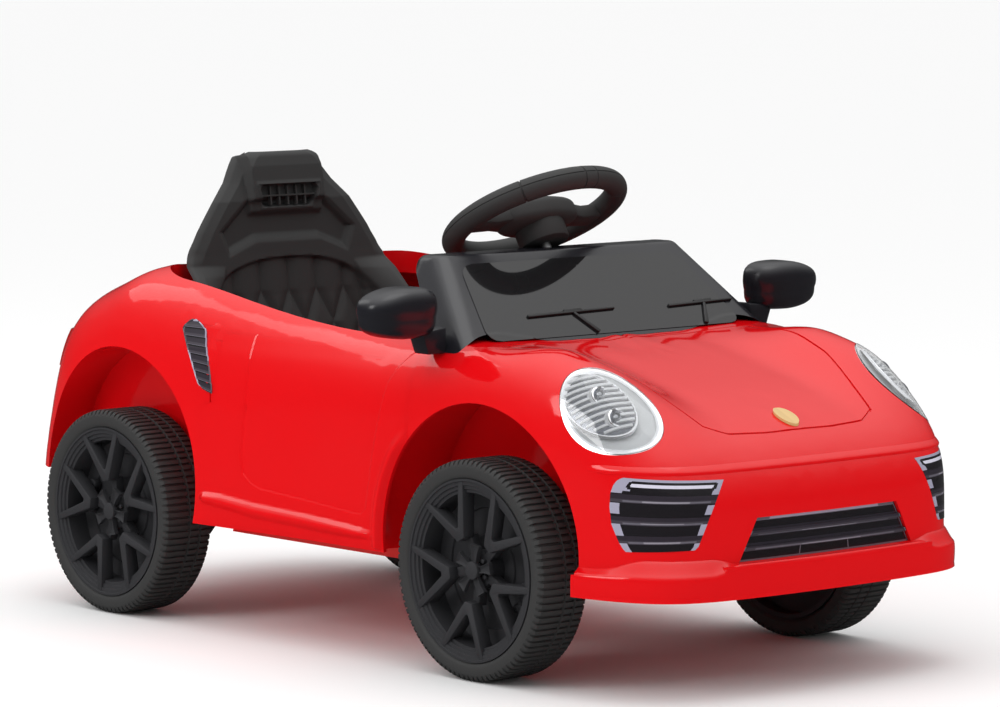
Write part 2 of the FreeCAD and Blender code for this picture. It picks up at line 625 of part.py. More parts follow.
def trim_parts():
    """Panels along the body's skin: grille, fog panels, side vents, tail lamps and the bare badge."""
    back = WALL + GAP + SIZE["trim_wall"]
    front = SIZE["trim_wall"] / 2
    grille = along_skin(grille_prism(WALL), WALL + GAP, back)
    third = (SIZE["grille_top"] - SIZE["grille_low"]) / 3
    for i in (1, 2):
        low = SIZE["grille_low"] + third * i - SIZE["grille_bar"] / 2
        bar = grille_prism(-GAP).common(slab(low, low + SIZE["grille_bar"]))
        grille = grille.fuse(along_skin(bar, front, back))
    feature("lower_grille", grille)
    for label, hand in SIDES:
        fog = skin_plate(fog_prism(0), Vector(1, 1, 0), SIZE["sticker_wall"])
        feature(f"fog_panel_{label}", on_side(fog, hand))
        pitch = (SIZE["vent_top"] - SIZE["vent_low"]) / SIZE["vent_slats"]
        vent = along_skin(vent_prism(WALL), WALL + GAP, back)
        for i in range(int(SIZE["vent_slats"])):
            low = SIZE["vent_low"] + pitch * i + GAP
            slat = prism(vent_corners(-GAP, low, low + SIZE["vent_slat"]), Vector(0, REACH, 0))
            vent = vent.fuse(along_skin(slat, front, back))
        feature(f"side_vent_{label}", on_side(vent, hand))
        half, tall = SIZE["tail_lamp_length"] / 2, SIZE["tail_lamp_tall"] / 2
        lamp = block((-2 * REACH, SIZE["deck_x"]), (SIZE["tail_lamp_y"] - half, SIZE["tail_lamp_y"] + half),
                     (SIZE["tail_lamp_z"] - tall, SIZE["tail_lamp_z"] + tall))
        feature(f"tail_lamp_{label}", on_side(skin_plate(lamp, Vector(-1, 1, 0), SIZE["trim_wall"]), hand))
    oval = Part.Ellipse(Vector(SIZE["badge_x"], 0, 0), SIZE["badge_long"] / 2, SIZE["badge_wide"] / 2)
    badge = Part.Face(Part.Wire([oval.toShape()])).extrude(Vector(0, 0, REACH))
    feature("bonnet_badge", skin_plate(badge, Vector(1, 0, 2), SIZE["trim_wall"]))


SHELL = body_shell()
feature("body_shell", SHELL)
lamps = []
for side_name, side_hand in SIDES:
    lamps += lamp_parts(side_name, side_hand)
feature("headlamp_bulbs", Part.Compound(lamps))
trim_parts()


# Windscreen cowl, dashboard, seat and mirrors


def rounded_plan(rear, front, wide, z, radius):
    """A level rectangle with rounded corners, as a wire."""
    flat = Part.makePlane(front - rear, 2 * wide, Vector(rear, -wide, z))
    solid = flat.extrude(Vector(0, 0, 1))
    solid = solid.makeFillet(radius, [e for e in solid.Edges if abs(e.tangentAt(0).z) > 0.9])
    return min(solid.Faces, key=lambda f: f.CenterOfMass.z).OuterWire


def cowl_hood(inset):
    """The cowl's outer form: a hood that leans back, cut away under its rear edge."""
    rear, base = SIZE["cowl_rear_x"] + inset, SIZE["cowl_low"]
    low = rounded_plan(rear, SIZE["cowl_front_x"] - inset, SIZE["cowl_half_width"] - inset, base,
                       SIZE["cowl_round"] - inset)
    top = rounded_plan(rear, SIZE["cowl_top_front_x"] - inset, SIZE["cowl_top_half_width"] - inset,
                       SIZE["cowl_top"] - inset, SIZE["cowl_round"] - inset)
    hood = Part.makeLoft([low, top], True, True)
    crown = max(hood.Faces, key=lambda f: f.CenterOfMass.z)
    hood = hood.makeFillet(SIZE["cowl_edge_round"] - inset, crown.Edges)
    edge, foot = rear - SIZE["cowl_wall"], SIZE["cowl_foot_rear_x"] + inset
    corners = [Vector(edge, -REACH, SIZE["cowl_top"]), Vector(foot, -REACH, base), Vector(edge, -REACH, base)]
    return hood.cut(prism(corners, Vector(0, 2 * REACH, 0)))


def steering_axis():
    """The steering wheel's middle and the way that its column runs down."""
    lean = math.radians(SIZE["column_lean"])
    return Vector(SIZE["wheel_hub_x"], 0, SIZE["wheel_hub_z"]), Vector(math.sin(lean), 0, -math.cos(lean))


def column_hole(name):
    """A round hole for the steering column to pass through with room to turn."""
    centre, down = steering_axis()
    hole = rod(name, "column_dia / 2 + move_gap", "column_length", "wheel_hub_x", "0", "wheel_hub_z")
    hole.Placement = FreeCAD.Placement(centre, FreeCAD.Rotation(Vector(0, 0, 1), down))
    return hole


def cowl():
    """The gloss black windscreen and dashboard hood, a thin moulding that sits on the body."""
    centre, down = steering_axis()
    hood = cowl_hood(0).cut(cowl_hood(SIZE["cowl_wall"])).cut(depth_form(-GAP))
    bore = Part.makeCylinder(SIZE["column_dia"] / 2 + SIZE["move_gap"], REACH, centre, down)
    return fitted(hood.cut(bore))


def seat_back():
    """The seat's tapered high back, a thin moulding open behind."""
    wall = SIZE["seat_wall"]
    stations = (
        ("seat_base_front_x", "seat_half_width", "seat_low"),
        ("seat_shoulder_front_x", "seat_half_width", "seat_shoulder_z"),
        ("seat_neck_front_x", "seat_neck_half", "seat_neck_z"),
        ("seat_top_front_x", "seat_top_half", "seat_top_z"),
    )
    wires = []
    hollows = []
    for front, half, level in stations:
        x, y, z = SIZE[front], SIZE[half], SIZE[level]
        depth = SIZE["seat_thick"] if z < SIZE["seat_neck_z"] else SIZE["seat_top_thick"]
        wires.append(rounded_plan(x - depth, x, y, z, SIZE["seat_round"]))
        under = z - wall if level == "seat_top_z" else z
        hollows.append(rounded_plan(x - 2 * depth, x - wall, y - wall, under, SIZE["seat_round"] - wall / 2))
    return Part.makeLoft(wires, True, True).cut(Part.makeLoft(hollows, True, True))


def seat_base():
    """The seat's cushion and the skirt that it stands on, both hollow from below."""
    wall, rear, front = SIZE["seat_wall"], SIZE["seat_rear_x"], SIZE["seat_front_x"]
    low, high, ahead = SIZE["seat_low"], SIZE["seat_high"], SIZE["seat_skirt_x"]
    half = SIZE["seat_half_width"]
    base = block((rear, front), (-half, half), (low, high))
    base = base.makeFillet(SIZE["seat_round"], [e for e in base.Edges if e.CenterOfMass.x > front - 1])
    inside = half - wall
    base = base.cut(block((rear + wall, front - wall), (-inside, inside), (low - wall, high - wall)))
    half = SIZE["rear_deck_half"] - WALL
    skirt = block((rear, ahead), (-half, half), (SIZE["rear_deck_top"], low))
    inside = half - wall
    skirt = skirt.cut(block((rear + wall, ahead - wall), (-inside, inside), (0, high - wall)))
    return base.fuse(skirt)


def seat_bolster(hand):
    """A raised side of the cushion, sloped inwards and at its front end."""
    rise, wide, slope = SIZE["bolster_rise"], SIZE["bolster_width"], SIZE["bolster_slope"]
    front, high, edge = SIZE["seat_front_x"] - wide, SIZE["seat_high"], SIZE["seat_half_width"]
    crest = (front - rise, high + rise)
    outline = [(front, edge, high), (front, edge - wide, high), (crest[0], edge - wide + slope, crest[1]),
               (crest[0], edge, crest[1])]
    spots = [Vector(x, hand * y, z) for x, y, z in outline]
    back = Vector(SIZE["seat_base_front_x"] - front - rise, 0, 0)
    ends = [[p + back for p in spots], spots]
    return Part.makeLoft([Part.makePolygon([*ring, ring[0]]) for ring in ends], True, True)


def seat_grooves():
    """Tools for the upright channels in the seat's back."""
    deep, wide = SIZE["channel_depth"], SIZE["channel_width"]
    tilt = SIZE["seat_shoulder_front_x"] - SIZE["seat_base_front_x"]
    start = SIZE["seat_high"] + SIZE["bolster_rise"]
    tall = SIZE["seat_shoulder_z"] - start
    slope = tilt / (SIZE["seat_shoulder_z"] - SIZE["seat_low"])
    x = SIZE["seat_base_front_x"] + slope * (start - SIZE["seat_low"])
    turn = FreeCAD.Rotation(Vector(0, 1, 0), math.degrees(math.atan(slope)))
    tools = []
    for i in range(int(SIZE["channel_count"])):
        y = (i - (SIZE["channel_count"] - 1) / 2) * SIZE["channel_pitch"]
        groove = Part.makeBox(2 * deep, wide, tall, Vector(-deep, -wide / 2, 0))
        groove.Placement = FreeCAD.Placement(Vector(x, y, start), turn)
        tools.append(groove)
    return tools


def seat_grid():
    """Tools for the two rows of pits in the headrest."""
    hole, deep, pitch = SIZE["grid_hole"], SIZE["grid_depth"], SIZE["grid_pitch"]
    low, high = SIZE["seat_neck_z"], SIZE["seat_top_z"]
    slope = (SIZE["seat_top_front_x"] - SIZE["seat_neck_front_x"]) / (high - low)
    x = SIZE["seat_neck_front_x"] + slope * (SIZE["grid_z"] - low)
    turn = FreeCAD.Rotation(Vector(0, 1, 0), math.degrees(math.atan(slope)))
    tools = []
    for i in range(int(SIZE["grid_columns"])):
        y = (i - (SIZE["grid_columns"] - 1) / 2) * pitch
        for row in (-pitch / 2, pitch / 2):
            pit = Part.makeBox(2 * deep, hole, hole, Vector(-deep, -hole / 2, row - hole / 2))
            pit.Placement = FreeCAD.Placement(Vector(x, y, SIZE["grid_z"]), turn)
            tools.append(pit)
    return tools


def seat():
    """The black moulded seat: a tapered high back with channels and a headrest grid, and its base."""
    whole = seat_back().fuse(seat_base())
    for hand in (1, -1):
        whole = whole.fuse(seat_bolster(hand))
    for tool in seat_grooves() + seat_grid():
        whole = whole.cut(tool)
    return whole


hood_tool = feature("windscreen_cowl", cowl())
feature("seat", fitted(seat()))
skin_tool = feature("skin_tool", OUTER, keep=False)
dash_form = feature("dash_form", depth_form(GAP), keep=False)


def dashboard():
    """The dashboard under the cowl, hollow from the front, with holes for two rockers and the socket."""
    wide = "dash_half_width"
    across = (f"-{wide}", wide)
    face = box("dash_box", ("dash_rear_x", "dash_front_x"), across, ("dash_low", "cowl_top"))
    deck = box("dash_deck", ("dash_rear_x", "dash_deck_front_x"), across, ("tub_top + dash_wall", "cowl_top"))
    solid = common("dash_block", dash_form, fuse("dash_blank", face, deck))
    hollow = box("dash_hollow", ("dash_rear_x + dash_wall", "dash_front_x + dash_wall"),
                 (f"dash_wall - {wide}", f"{wide} - dash_wall"),
                 ("dash_low + dash_wall", "switch_z + switch_tall / 2 + dash_wall"))
    tools = [hollow]
    for label, hand in (("power", "1"), ("direction", "-1")):
        half = "switch_wide / 2 + move_gap"
        tools.append(box(f"{label}_slot", ("dash_rear_x - dash_wall", "dash_rear_x + 2 * dash_wall"),
                         (f"{hand} * switch_y - ({half})", f"{hand} * switch_y + {half}"),
                         ("switch_z - switch_tall / 2 - move_gap", "switch_z + switch_tall / 2 + move_gap")))
    tools.append(rod("socket_hole", "socket_dia / 2 + seat_gap", "4 * dash_wall", "dash_rear_x - dash_wall",
                     "socket_y", "switch_z", "x"))
    tools.append(column_hole("dash_column_hole"))
    return cut("dashboard", solid, *tools)


def rocker(label, hand):
    """A rocker switch cap, which tips about a level axis in the dashboard's face."""
    body = doc.addObject("PartDesign::Body", f"{label}_switch")
    tall = "switch_tall / 2"
    profile = sketch_on(body, f"{label}_rocker", "XZ_Plane", [[
        ("-switch_proud", f"-{tall}"), ("-switch_proud / 3", "0"), ("-switch_proud", tall),
        ("switch_deep - switch_proud", f"{tall} * 0.5"), ("switch_deep - switch_proud", f"-{tall} * 0.5"),
    ]])
    raised = pad(body, profile, "switch_wide")
    raised.Midplane = True
    place(body, "dash_rear_x", f"{hand} * switch_y", "switch_z")
    return node(body, f"{label}_switch")


def charge_socket():
    """The charging socket, a flanged barrel in the dashboard."""
    spot = ("socket_y", "switch_z", "x")
    barrel = rod("socket_barrel", "socket_dia / 2", "socket_deep", "dash_rear_x", *spot)
    flange = rod("socket_flange", "socket_dia / 2 + socket_proud", "socket_proud",
                 "dash_rear_x - socket_proud - seat_gap / 2", *spot)
    neck = rod("socket_neck", "socket_dia / 2", "socket_proud", "dash_rear_x - socket_proud / 2", *spot)
    bore = rod("socket_bore_tool", "socket_bore / 2", "socket_deep", "dash_rear_x - 2 * socket_proud", *spot)
    return node(cut("charge_socket", fuse("socket_solid", barrel, flange, neck), bore), "charge_socket")


node(dashboard(), "dashboard_panel")
for switch, switch_hand in (("power", "1"), ("direction", "-1")):
    rocker(switch, switch_hand)
charge_socket()


def mirror(label, hand):
    """A door mirror: an oval housing flattened behind, its stalk down to the body, and a glass."""
    y = f"{hand} * mirror_y"
    flat_x = "mirror_x - mirror_flat"

    def egg(name, inset):
        thing = feature(f"{name}_{label}", Part.makeSphere(1), keep=False)
        grow = FreeCAD.Matrix()
        grow.scale(*[SIZE[f"mirror_half_{axis}"] - inset for axis in "xyz"])
        thing.Shape = thing.Shape.transformGeometry(grow)
        return place(thing, "mirror_x", y, "mirror_z")

    def sheet_of(name, inset, rear, front):
        level = ("mirror_z - mirror_half_z", "mirror_z + mirror_half_z")
        across = (f"{y} - mirror_half_y", f"{y} + mirror_half_y")
        return common(name, egg(f"{name}_egg", inset), box(f"{name}_box", (rear, front), across, level))

    margin = SIZE["glass_margin"]
    head = sheet_of(f"mirror_head_{label}", 0.0, flat_x, "mirror_x + mirror_half_x")
    pit = sheet_of(f"mirror_pit_{label}", margin, f"{flat_x} - glass_wall", f"{flat_x} + glass_wall")
    stalk = rod(f"mirror_stalk_{label}", "stalk_dia / 2", "stalk_length")
    lean = FreeCAD.Rotation(Vector(-int(hand), 0, 0), SIZE["stalk_lean"])
    stalk.Placement = FreeCAD.Placement(MIDDLE, lean)
    bind(stalk, **{"Placement.Base.x": "mirror_x", "Placement.Base.y": f"{hand} * stalk_foot_y",
                   "Placement.Base.z": "cowl_base_height - stalk_dia",
                   "Placement.Rotation.Angle": "stalk_lean"})
    whole = cut(f"mirror_solid_{label}", fuse(f"mirror_whole_{label}", head, stalk), pit)
    trimmed = cut(f"mirror_off_body_{label}", whole, skin_tool)
    node(cut(f"mirror_housing_{label}", trimmed, hood_tool), f"mirror_housing_{label}")
    return sheet_of(f"mirror_glass_{label}", margin + GAP, flat_x, f"{flat_x} + glass_wall - seat_gap")


def group(label, *things):
    """Identical pieces of one body in one node, as separate solids."""
    thing = doc.addObject("Part::Compound", label)
    thing.Links = list(things)
    return node(thing, label)


group("mirror_glasses", mirror("left", "1"), mirror("right", "-1"))

# Chassis tub, battery and control box


def chassis_tub():
    """The red lower moulding: a deep cabin and footwell, sills, and a deck over each axle."""
    body = doc.addObject("PartDesign::Body", "tub_body")

    def plan(inset):
        wide, narrow = f"(tub_half_width - {inset})", f"(foot_half_width - {inset})"
        rear, knee, front = f"tub_rear_x + {inset}", f"tub_front_x - {inset}", f"foot_front_x - {inset}"
        return [(rear, f"-{wide}"), (knee, f"-{wide}"), (knee, f"-{narrow}"), (front, f"-{narrow}"),
                (front, narrow), (knee, narrow), (knee, wide), (rear, wide)]

    pad(body, sketch_on(body, "tub_plan", "XY_Plane", [plan("0")], offset="tub_low"), "tub_top - tub_low")
    inner = sketch_on(body, "tub_inside", "XY_Plane", [plan("tub_wall")], offset="tub_top")
    pocket(body, inner, "tub_top - tub_low - tub_wall")
    foot = "(foot_half_width - tub_wall)"
    above = "tub_top + tub_wall"
    gate = sketch_on(body, "tub_front_top", "YZ_Plane", [[
        (f"-{foot}", "foot_front_top"), (foot, "foot_front_top"), (foot, above), (f"-{foot}", above),
    ]], offset="foot_front_x + tub_wall")
    pocket(body, gate, "3 * tub_wall")
    back = sketch_on(body, "tub_rear_top", "YZ_Plane", [[
        ("-rear_deck_half", "rear_deck_top"), ("rear_deck_half", "rear_deck_top"),
        ("rear_deck_half", above), ("-rear_deck_half", above),
    ]], offset="tub_rear_x + 2 * tub_wall")
    pocket(body, back, "4 * tub_wall")
    deck_low = "rear_deck_top - tub_wall"
    rear = box("rear_deck", ("rear_deck_end_x", "tub_rear_x + tub_wall"),
               ("-rear_deck_half", "rear_deck_half"), (deck_low, "rear_deck_top"))
    level = ("front_deck_low", "front_deck_low + tub_wall")
    front = box("front_deck", ("foot_front_x - tub_wall", "front_deck_end_x"),
                ("-front_deck_half", "front_deck_half"), level)
    ears = box("kingpin_ears", ("front_axle_x - ear_length / 2", "front_axle_x + ear_length / 2"),
               ("-ear_reach_y", "ear_reach_y"), level)
    hangers = []
    arches = []
    pins = []
    for label, hand in SIDES:
        hangers.append(box(f"hanger_{label}",
                           ("rear_axle_x - hanger_width / 2", "rear_axle_x + hanger_width / 2"),
                           (f"{hand} * hanger_y - tub_wall", f"{hand} * hanger_y + tub_wall"),
                           ("wheel_dia / 2 - hanger_width / 2.2", deck_low)))
        wall_y = "rear_well_y - body_wall - move_gap"
        arches.append(rod(f"tub_arch_{label}", "rear_well_dia / 2 + body_wall + move_gap", "body_half_width",
                          "rear_axle_x + rear_arch_ahead",
                          wall_y if hand > 0 else f"-({wall_y}) - body_half_width",
                          "wheel_dia / 2 + rear_arch_up", "y"))
        pins.append(rod(f"tub_kingpin_{label}", "kingpin_dia / 2 + move_gap", "4 * tub_wall", "front_axle_x",
                        f"{hand} * kingpin_y", "front_deck_low - tub_wall"))
    under = feature("under_skin", depth_form(WALL + GAP), keep=False)
    pan = box("sill_box", ("tub_rear_x", "tub_front_x"), ("-body_half_width", "body_half_width"),
              ("sill_bottom", "sill_bottom + tub_wall"))
    cabin = box("cabin_space", ("tub_rear_x + tub_wall", "tub_front_x"),
                ("tub_wall - tub_half_width", "tub_half_width - tub_wall"), ("tub_low + tub_wall", "tub_top"))
    sills = cut("sill_flanges", common("sill_pan", under, pan), cabin)
    whole = fuse("tub_solid", body, rear, front, ears, sills, *hangers)
    axle = rod("tub_axle_hole", "axle_dia / 2 + seat_gap", "2 * wheel_face_y", "rear_axle_x", "-wheel_face_y",
               "wheel_dia / 2", "y")
    holes = [*arches, axle, *pins, column_hole("tub_column_hole")]
    return node(cut("chassis_tub", whole, *holes), "chassis_tub")


chassis_tub()
for label, name, floor in (("battery", "battery", "tub_low"), ("control_box", "control", "front_deck_low")):
    half_length, half_across = f"{name}_length / 2", f"{name}_width / 2"
    along = (f"{name}_x - {half_length}", f"{name}_x + {half_length}")
    upright = (f"{floor} + tub_wall", f"{floor} + tub_wall + {name}_height")
    node(box(label, along, (f"-{half_across}", half_across), upright), label)

# Rear drive


def drive_side(label, hand):
    """A gearbox hung under the rear deck on the axle, with its motor on the inner face."""
    body = doc.addObject("PartDesign::Body", f"gearbox_{label}")
    low, high = "wheel_dia / 2 - gearbox_below", "rear_deck_top - tub_wall"
    rear, front = "rear_axle_x - gearbox_rear", "rear_axle_x + gearbox_ahead"
    bore = ("rear_axle_x", "wheel_dia / 2", "axle_dia / 2 + seat_gap")
    profile = sketch_on(body, f"gearbox_side_{label}", "XZ_Plane", [[
        (rear, f"{low} + gearbox_rear / 2"), (f"{rear} + gearbox_rear / 2", low),
        (f"{front} - motor_dia", low), (front, f"{low} + motor_dia"), (front, high), (rear, high),
    ]], [bore], offset=f"-{hand} * gearbox_inner_y")
    pad(body, profile, "gearbox_outer_y - gearbox_inner_y", reverse=hand > 0)
    drum = sketch_on(body, f"gearbox_drum_{label}", "XZ_Plane", [],
                     [("rear_axle_x", "wheel_dia / 2", "output_dia / 2"), bore],
                     offset=f"-{hand} * gearbox_outer_y")
    reach = "wheel_face_y - wheel_width - coupler_depth - move_gap - gearbox_outer_y"
    pad(body, drum, reach, reverse=hand > 0)
    node(body, f"gearbox_{label}")
    start = "gearbox_inner_y - seat_gap" if hand < 0 else "gearbox_inner_y - seat_gap - motor_length"
    y = start if hand > 0 else f"-({start})"
    x, z = "rear_axle_x + motor_ahead", "wheel_dia / 2 + motor_up"
    can = rod(f"motor_can_{label}", "motor_dia / 2", "motor_length", x, y, z, "y")
    tip = f"{y} - motor_dia / 8" if hand > 0 else f"{y} + motor_length"
    nose = rod(f"motor_nose_{label}", "motor_dia / 5", "motor_dia / 8", x, tip, z, "y")
    node(fuse(f"drive_motor_{label}", can, nose), f"drive_motor_{label}")


for side_name, side_hand in SIDES:
    drive_side(side_name, side_hand)
AXLE_END = "wheel_face_y - hub_recess + nut_depth"
rear_axle = rod("rear_axle", "axle_dia / 2", f"2 * ({AXLE_END})", "rear_axle_x", f"-({AXLE_END})",
                "wheel_dia / 2", "y")
node(rear_axle, "rear_axle")


# Wheels: each is a tyre, a spoked wheel and a cap, on an axle along Y with its face outwards


def wheel_place(thing, end, hand, turn):
    """Put a wheel piece, modelled about the Y axis with its face to +Y, on its axle."""
    facing = FreeCAD.Rotation(Vector(0, 0, 1), 0 if hand > 0 else 180)
    thing.Placement = FreeCAD.Placement(MIDDLE, facing * FreeCAD.Rotation(Vector(0, 1, 0), turn))
    spot = (f"{end}_axle_x", f"{hand} * (wheel_face_y - wheel_width / 2)", "wheel_dia / 2")
    for axis, text in zip("xyz", spot):
        thing.setExpression(f"Placement.Base.{axis}", tie(text))


def tyre(end, label, hand, turn):
    """A tyre with rounded shoulders, a middle rib line and two bands of tread slots."""
    body = doc.addObject("PartDesign::Body", f"tyre_{end}_{label}")
    half, outer, inner = "wheel_width / 2", "wheel_dia / 2", "rim_dia / 2"
    profile = sketch_on(body, f"tyre_profile_{end}_{label}", "YZ_Plane", [[
        (f"shoulder - {half}", inner), (f"{half} - shoulder", inner), (half, f"{inner} + shoulder"),
        (half, f"{outer} - 2 * shoulder"), (f"{half} - shoulder / 2", f"{outer} - shoulder / 2"),
        (f"{half} - 1.5 * shoulder", outer), (f"1.5 * shoulder - {half}", outer),
        (f"shoulder / 2 - {half}", f"{outer} - shoulder / 2"), (f"-{half}", f"{outer} - 2 * shoulder"),
        (f"-{half}", f"{inner} + shoulder"),
    ]])
    revolve(body, profile, "H_Axis")
    slot = "tread_slot / 2"
    slots = [[(f"-{slot}", low), (slot, low), (slot, high), (f"-{slot}", high)]
             for low, high in (("tread_rib / 2", f"{half} + 1"), (f"-{half} - 1", "-tread_rib / 2"))]
    top = sketch_on(body, f"tread_{end}_{label}", "XY_Plane", slots, offset="wheel_dia / 2 + 1")
    ring_of(body, pocket(body, top, "tread_depth + 1"), "tread_pitches", "Y_Axis")
    wheel_place(body, end, hand, turn)
    node(body, f"tyre_{end}_{label}")


def spoked_wheel(end, label, hand, turn):
    """A wheel: rim barrel, web plate and hub in one turning, with twin spokes in vees over the web."""
    body = doc.addObject("PartDesign::Body", f"wheel_{end}_{label}")
    half, outer, bore = "wheel_width / 2", "rim_dia / 2 - seat_gap", "axle_dia / 2 + running_gap"
    web, face = f"web_set_in - {half}", f"{half} - spoke_set_back"
    inside = f"{outer} - rim_wall"
    profile = sketch_on(body, f"wheel_profile_{end}_{label}", "YZ_Plane", [[
        (f"1 - {half}", bore), (f"{half} - hub_recess", bore), (f"{half} - hub_recess", "hub_recess_dia / 2"),
        (face, "hub_recess_dia / 2"), (face, "hub_dia / 2"), (f"{web} + web_plate", "hub_dia / 2"),
        (f"{web} + web_plate", inside), (f"{half} - 1", inside), (f"{half} - 1", outer),
        (f"1 - {half}", outer), (f"1 - {half}", inside), (web, inside),
        (web, "hub_dia / 2"), (f"1 - {half}", "hub_dia / 2"),
    ]])
    revolve(body, profile, "H_Axis")
    vee = []
    for lean in ("1", "-1"):
        angle = f"{lean} * spoke_half_angle"
        ends = []
        for radius, shift in (("hub_dia / 2 - 3", "0"), ("rim_dia / 2 - rim_wall", "1")):
            for side in ("-1", "1"):
                along = f"({radius}) * sin({shift} * {angle})"
                up = f"({radius}) * cos({shift} * {angle})"
                aside = f"{side} * spoke_width / 2 + {lean} * (1 - {shift}) * spoke_width * 0.55"
                ends.append((f"{along} + {aside}", up))
        vee.append([ends[0], ends[1], ends[3], ends[2]])
    for k, leg in enumerate(vee):
        sketch = sketch_on(body, f"spoke_{k}_{end}_{label}", "XZ_Plane", [leg], offset=f"-({face})")
        ring_of(body, pad(body, sketch, "spoke_depth"), "spoke_count", "Y_Axis")
    wheel_place(body, end, hand, turn)
    node(body, f"wheel_{end}_{label}")


def hub_cap(end, label, hand, turn):
    """A centre cap: a button with prongs that lie between the spokes' vees."""
    body = doc.addObject("PartDesign::Body", f"hub_cap_{end}_{label}")
    base = "wheel_width / 2 - spoke_set_back + seat_gap"
    button = sketch_on(body, f"cap_button_{end}_{label}", "XZ_Plane", [], [("0", "0", "cap_dia / 2")],
                       offset=f"-({base})")
    pad(body, button, "cap_depth - seat_gap", reverse=True)
    prong = sketch_on(body, f"cap_prong_{end}_{label}", "XZ_Plane", [[
        ("-prong_width / 2", "-prong_width"), ("prong_width / 2", "-prong_width"),
        ("prong_width / 2 * 0.8", "-prong_reach"), ("-prong_width / 2 * 0.8", "-prong_reach"),
    ]], offset=f"-({base})")
    ring_of(body, pad(body, prong, "cap_depth * 0.7", reverse=True), "spoke_count", "Y_Axis")
    wheel_place(body, end, hand, turn)
    node(body, f"hub_cap_{end}_{label}")


WHEEL_TURNS = {"front": 172, "rear": 8}
for axle_end, wheel_turn in WHEEL_TURNS.items():
    for side_name, side_hand in SIDES:
        tyre(axle_end, side_name, side_hand, wheel_turn)
        spoked_wheel(axle_end, side_name, side_hand, wheel_turn)
        hub_cap(axle_end, side_name, side_hand, wheel_turn)


def drive_coupler(label, hand):
    """The ring on a rear wheel's back that the gearbox turns."""
    inner = "wheel_face_y - wheel_width - coupler_depth"
    length = "coupler_depth + 1 - seat_gap"
    start = inner if hand > 0 else f"-({inner}) - ({length})"
    disc = rod(f"coupler_disc_{label}", "coupler_dia / 2", length, "rear_axle_x", start, "wheel_dia / 2", "y")
    bore = rod(f"coupler_bore_{label}", "axle_dia / 2 + running_gap", "2 * coupler_dia", "rear_axle_x",
               f"{hand} * (wheel_face_y - wheel_width) - coupler_dia", "wheel_dia / 2", "y")
    node(cut(f"drive_coupler_{label}", disc, bore), f"drive_coupler_{label}")


for side_name, side_hand in SIDES:
    drive_coupler(side_name, side_hand)


def axle_nut(label, end, hand):
    """A lock nut on an axle's end, inside the hub's recess."""
    body = doc.addObject("PartDesign::Body", f"axle_nut_{end}_{label}")
    across = "nut_across / 2 / cos(30)"
    hexagon = [(f"{across} * cos({60 * k})", f"{across} * sin({60 * k})") for k in range(6)]
    bore = ("0", "0", "axle_dia / 2 + running_gap")
    flat = sketch_on(body, f"nut_{end}_{label}", "XZ_Plane", [hexagon], [bore],
                     offset=f"-{hand} * (wheel_face_y - hub_recess + move_gap)")
    pad(body, flat, "nut_depth - move_gap", reverse=hand > 0)
    place(body, f"{end}_axle_x", "0", "wheel_dia / 2")
    return body


for side_name, side_hand in SIDES:
    node(axle_nut(side_name, "front", side_hand), f"axle_nut_front_{side_name}")
group("axle_nuts_rear", *[axle_nut(side_name, "rear", side_hand) for side_name, side_hand in SIDES])

# Steering gear


def column_place(thing):
    """Put a piece, modelled about its own Z axis, on the steering column's axis."""
    thing.Placement = FreeCAD.Placement(MIDDLE, FreeCAD.Rotation(Vector(0, -1, 0), SIZE["column_lean"]))
    bind(thing, **{"Placement.Base.x": "wheel_hub_x", "Placement.Base.z": "wheel_hub_z",
                   "Placement.Rotation.Angle": "column_lean"})
    return thing


def steering_wheel():
    """The steering wheel: a round grip, two spoke pods with wells for the buttons, and a deep boss."""
    body = doc.addObject("PartDesign::Body", "steering_wheel")
    grip = sketch_on(body, "grip", "XZ_Plane", [], [("rim_ring_dia / 2", "0", "grip_dia / 2")])
    revolve(body, grip, "V_Axis")
    boss = sketch_on(body, "boss", "XY_Plane", [], [("0", "0", "boss_dia / 2")], offset="-boss_depth")
    pad(body, boss, "boss_depth + button_proud")
    wide, reach = "spoke_pod_width / 2", "rim_ring_dia / 2"
    pods = sketch_on(body, "pods", "XY_Plane", [[
        (f"-{wide}", f"-{reach}"), (f"{wide} * 0.7", f"-{reach}"), (wide, "0"),
        (f"{wide} * 0.7", reach), (f"-{wide}", reach), (f"-{wide} * 1.3", "0"),
    ]], offset="-spoke_pod_depth * 0.7")
    pad(body, pods, "spoke_pod_depth")
    spots = [("0", f"{hand} * button_y", "button_dia / 2 + move_gap") for hand in ("1", "-1")]
    wells = sketch_on(body, "button_wells", "XY_Plane", [], spots, offset="spoke_pod_depth * 0.3")
    pocket(body, wells, "button_deep")
    bore = ("0", "0", "column_dia / 2 + running_gap")
    shaft = sketch_on(body, "shaft_hole", "XY_Plane", [], [bore], offset="-boss_depth")
    pocket(body, shaft, "boss_depth - 2 * button_proud", reverse=True)
    return node(column_place(body), "steering_wheel")


def wheel_button(label, hand):
    """A round push button in a pod of the steering wheel."""
    body = doc.addObject("PartDesign::Body", f"{label}_button")
    disc = sketch_on(body, f"{label}_disc", "XY_Plane", [], [("0", f"{hand} * button_y", "button_dia / 2")],
                     offset="spoke_pod_depth * 0.3 - button_deep + button_proud")
    pad(body, disc, "button_deep")
    return node(column_place(body), f"{label}_button")


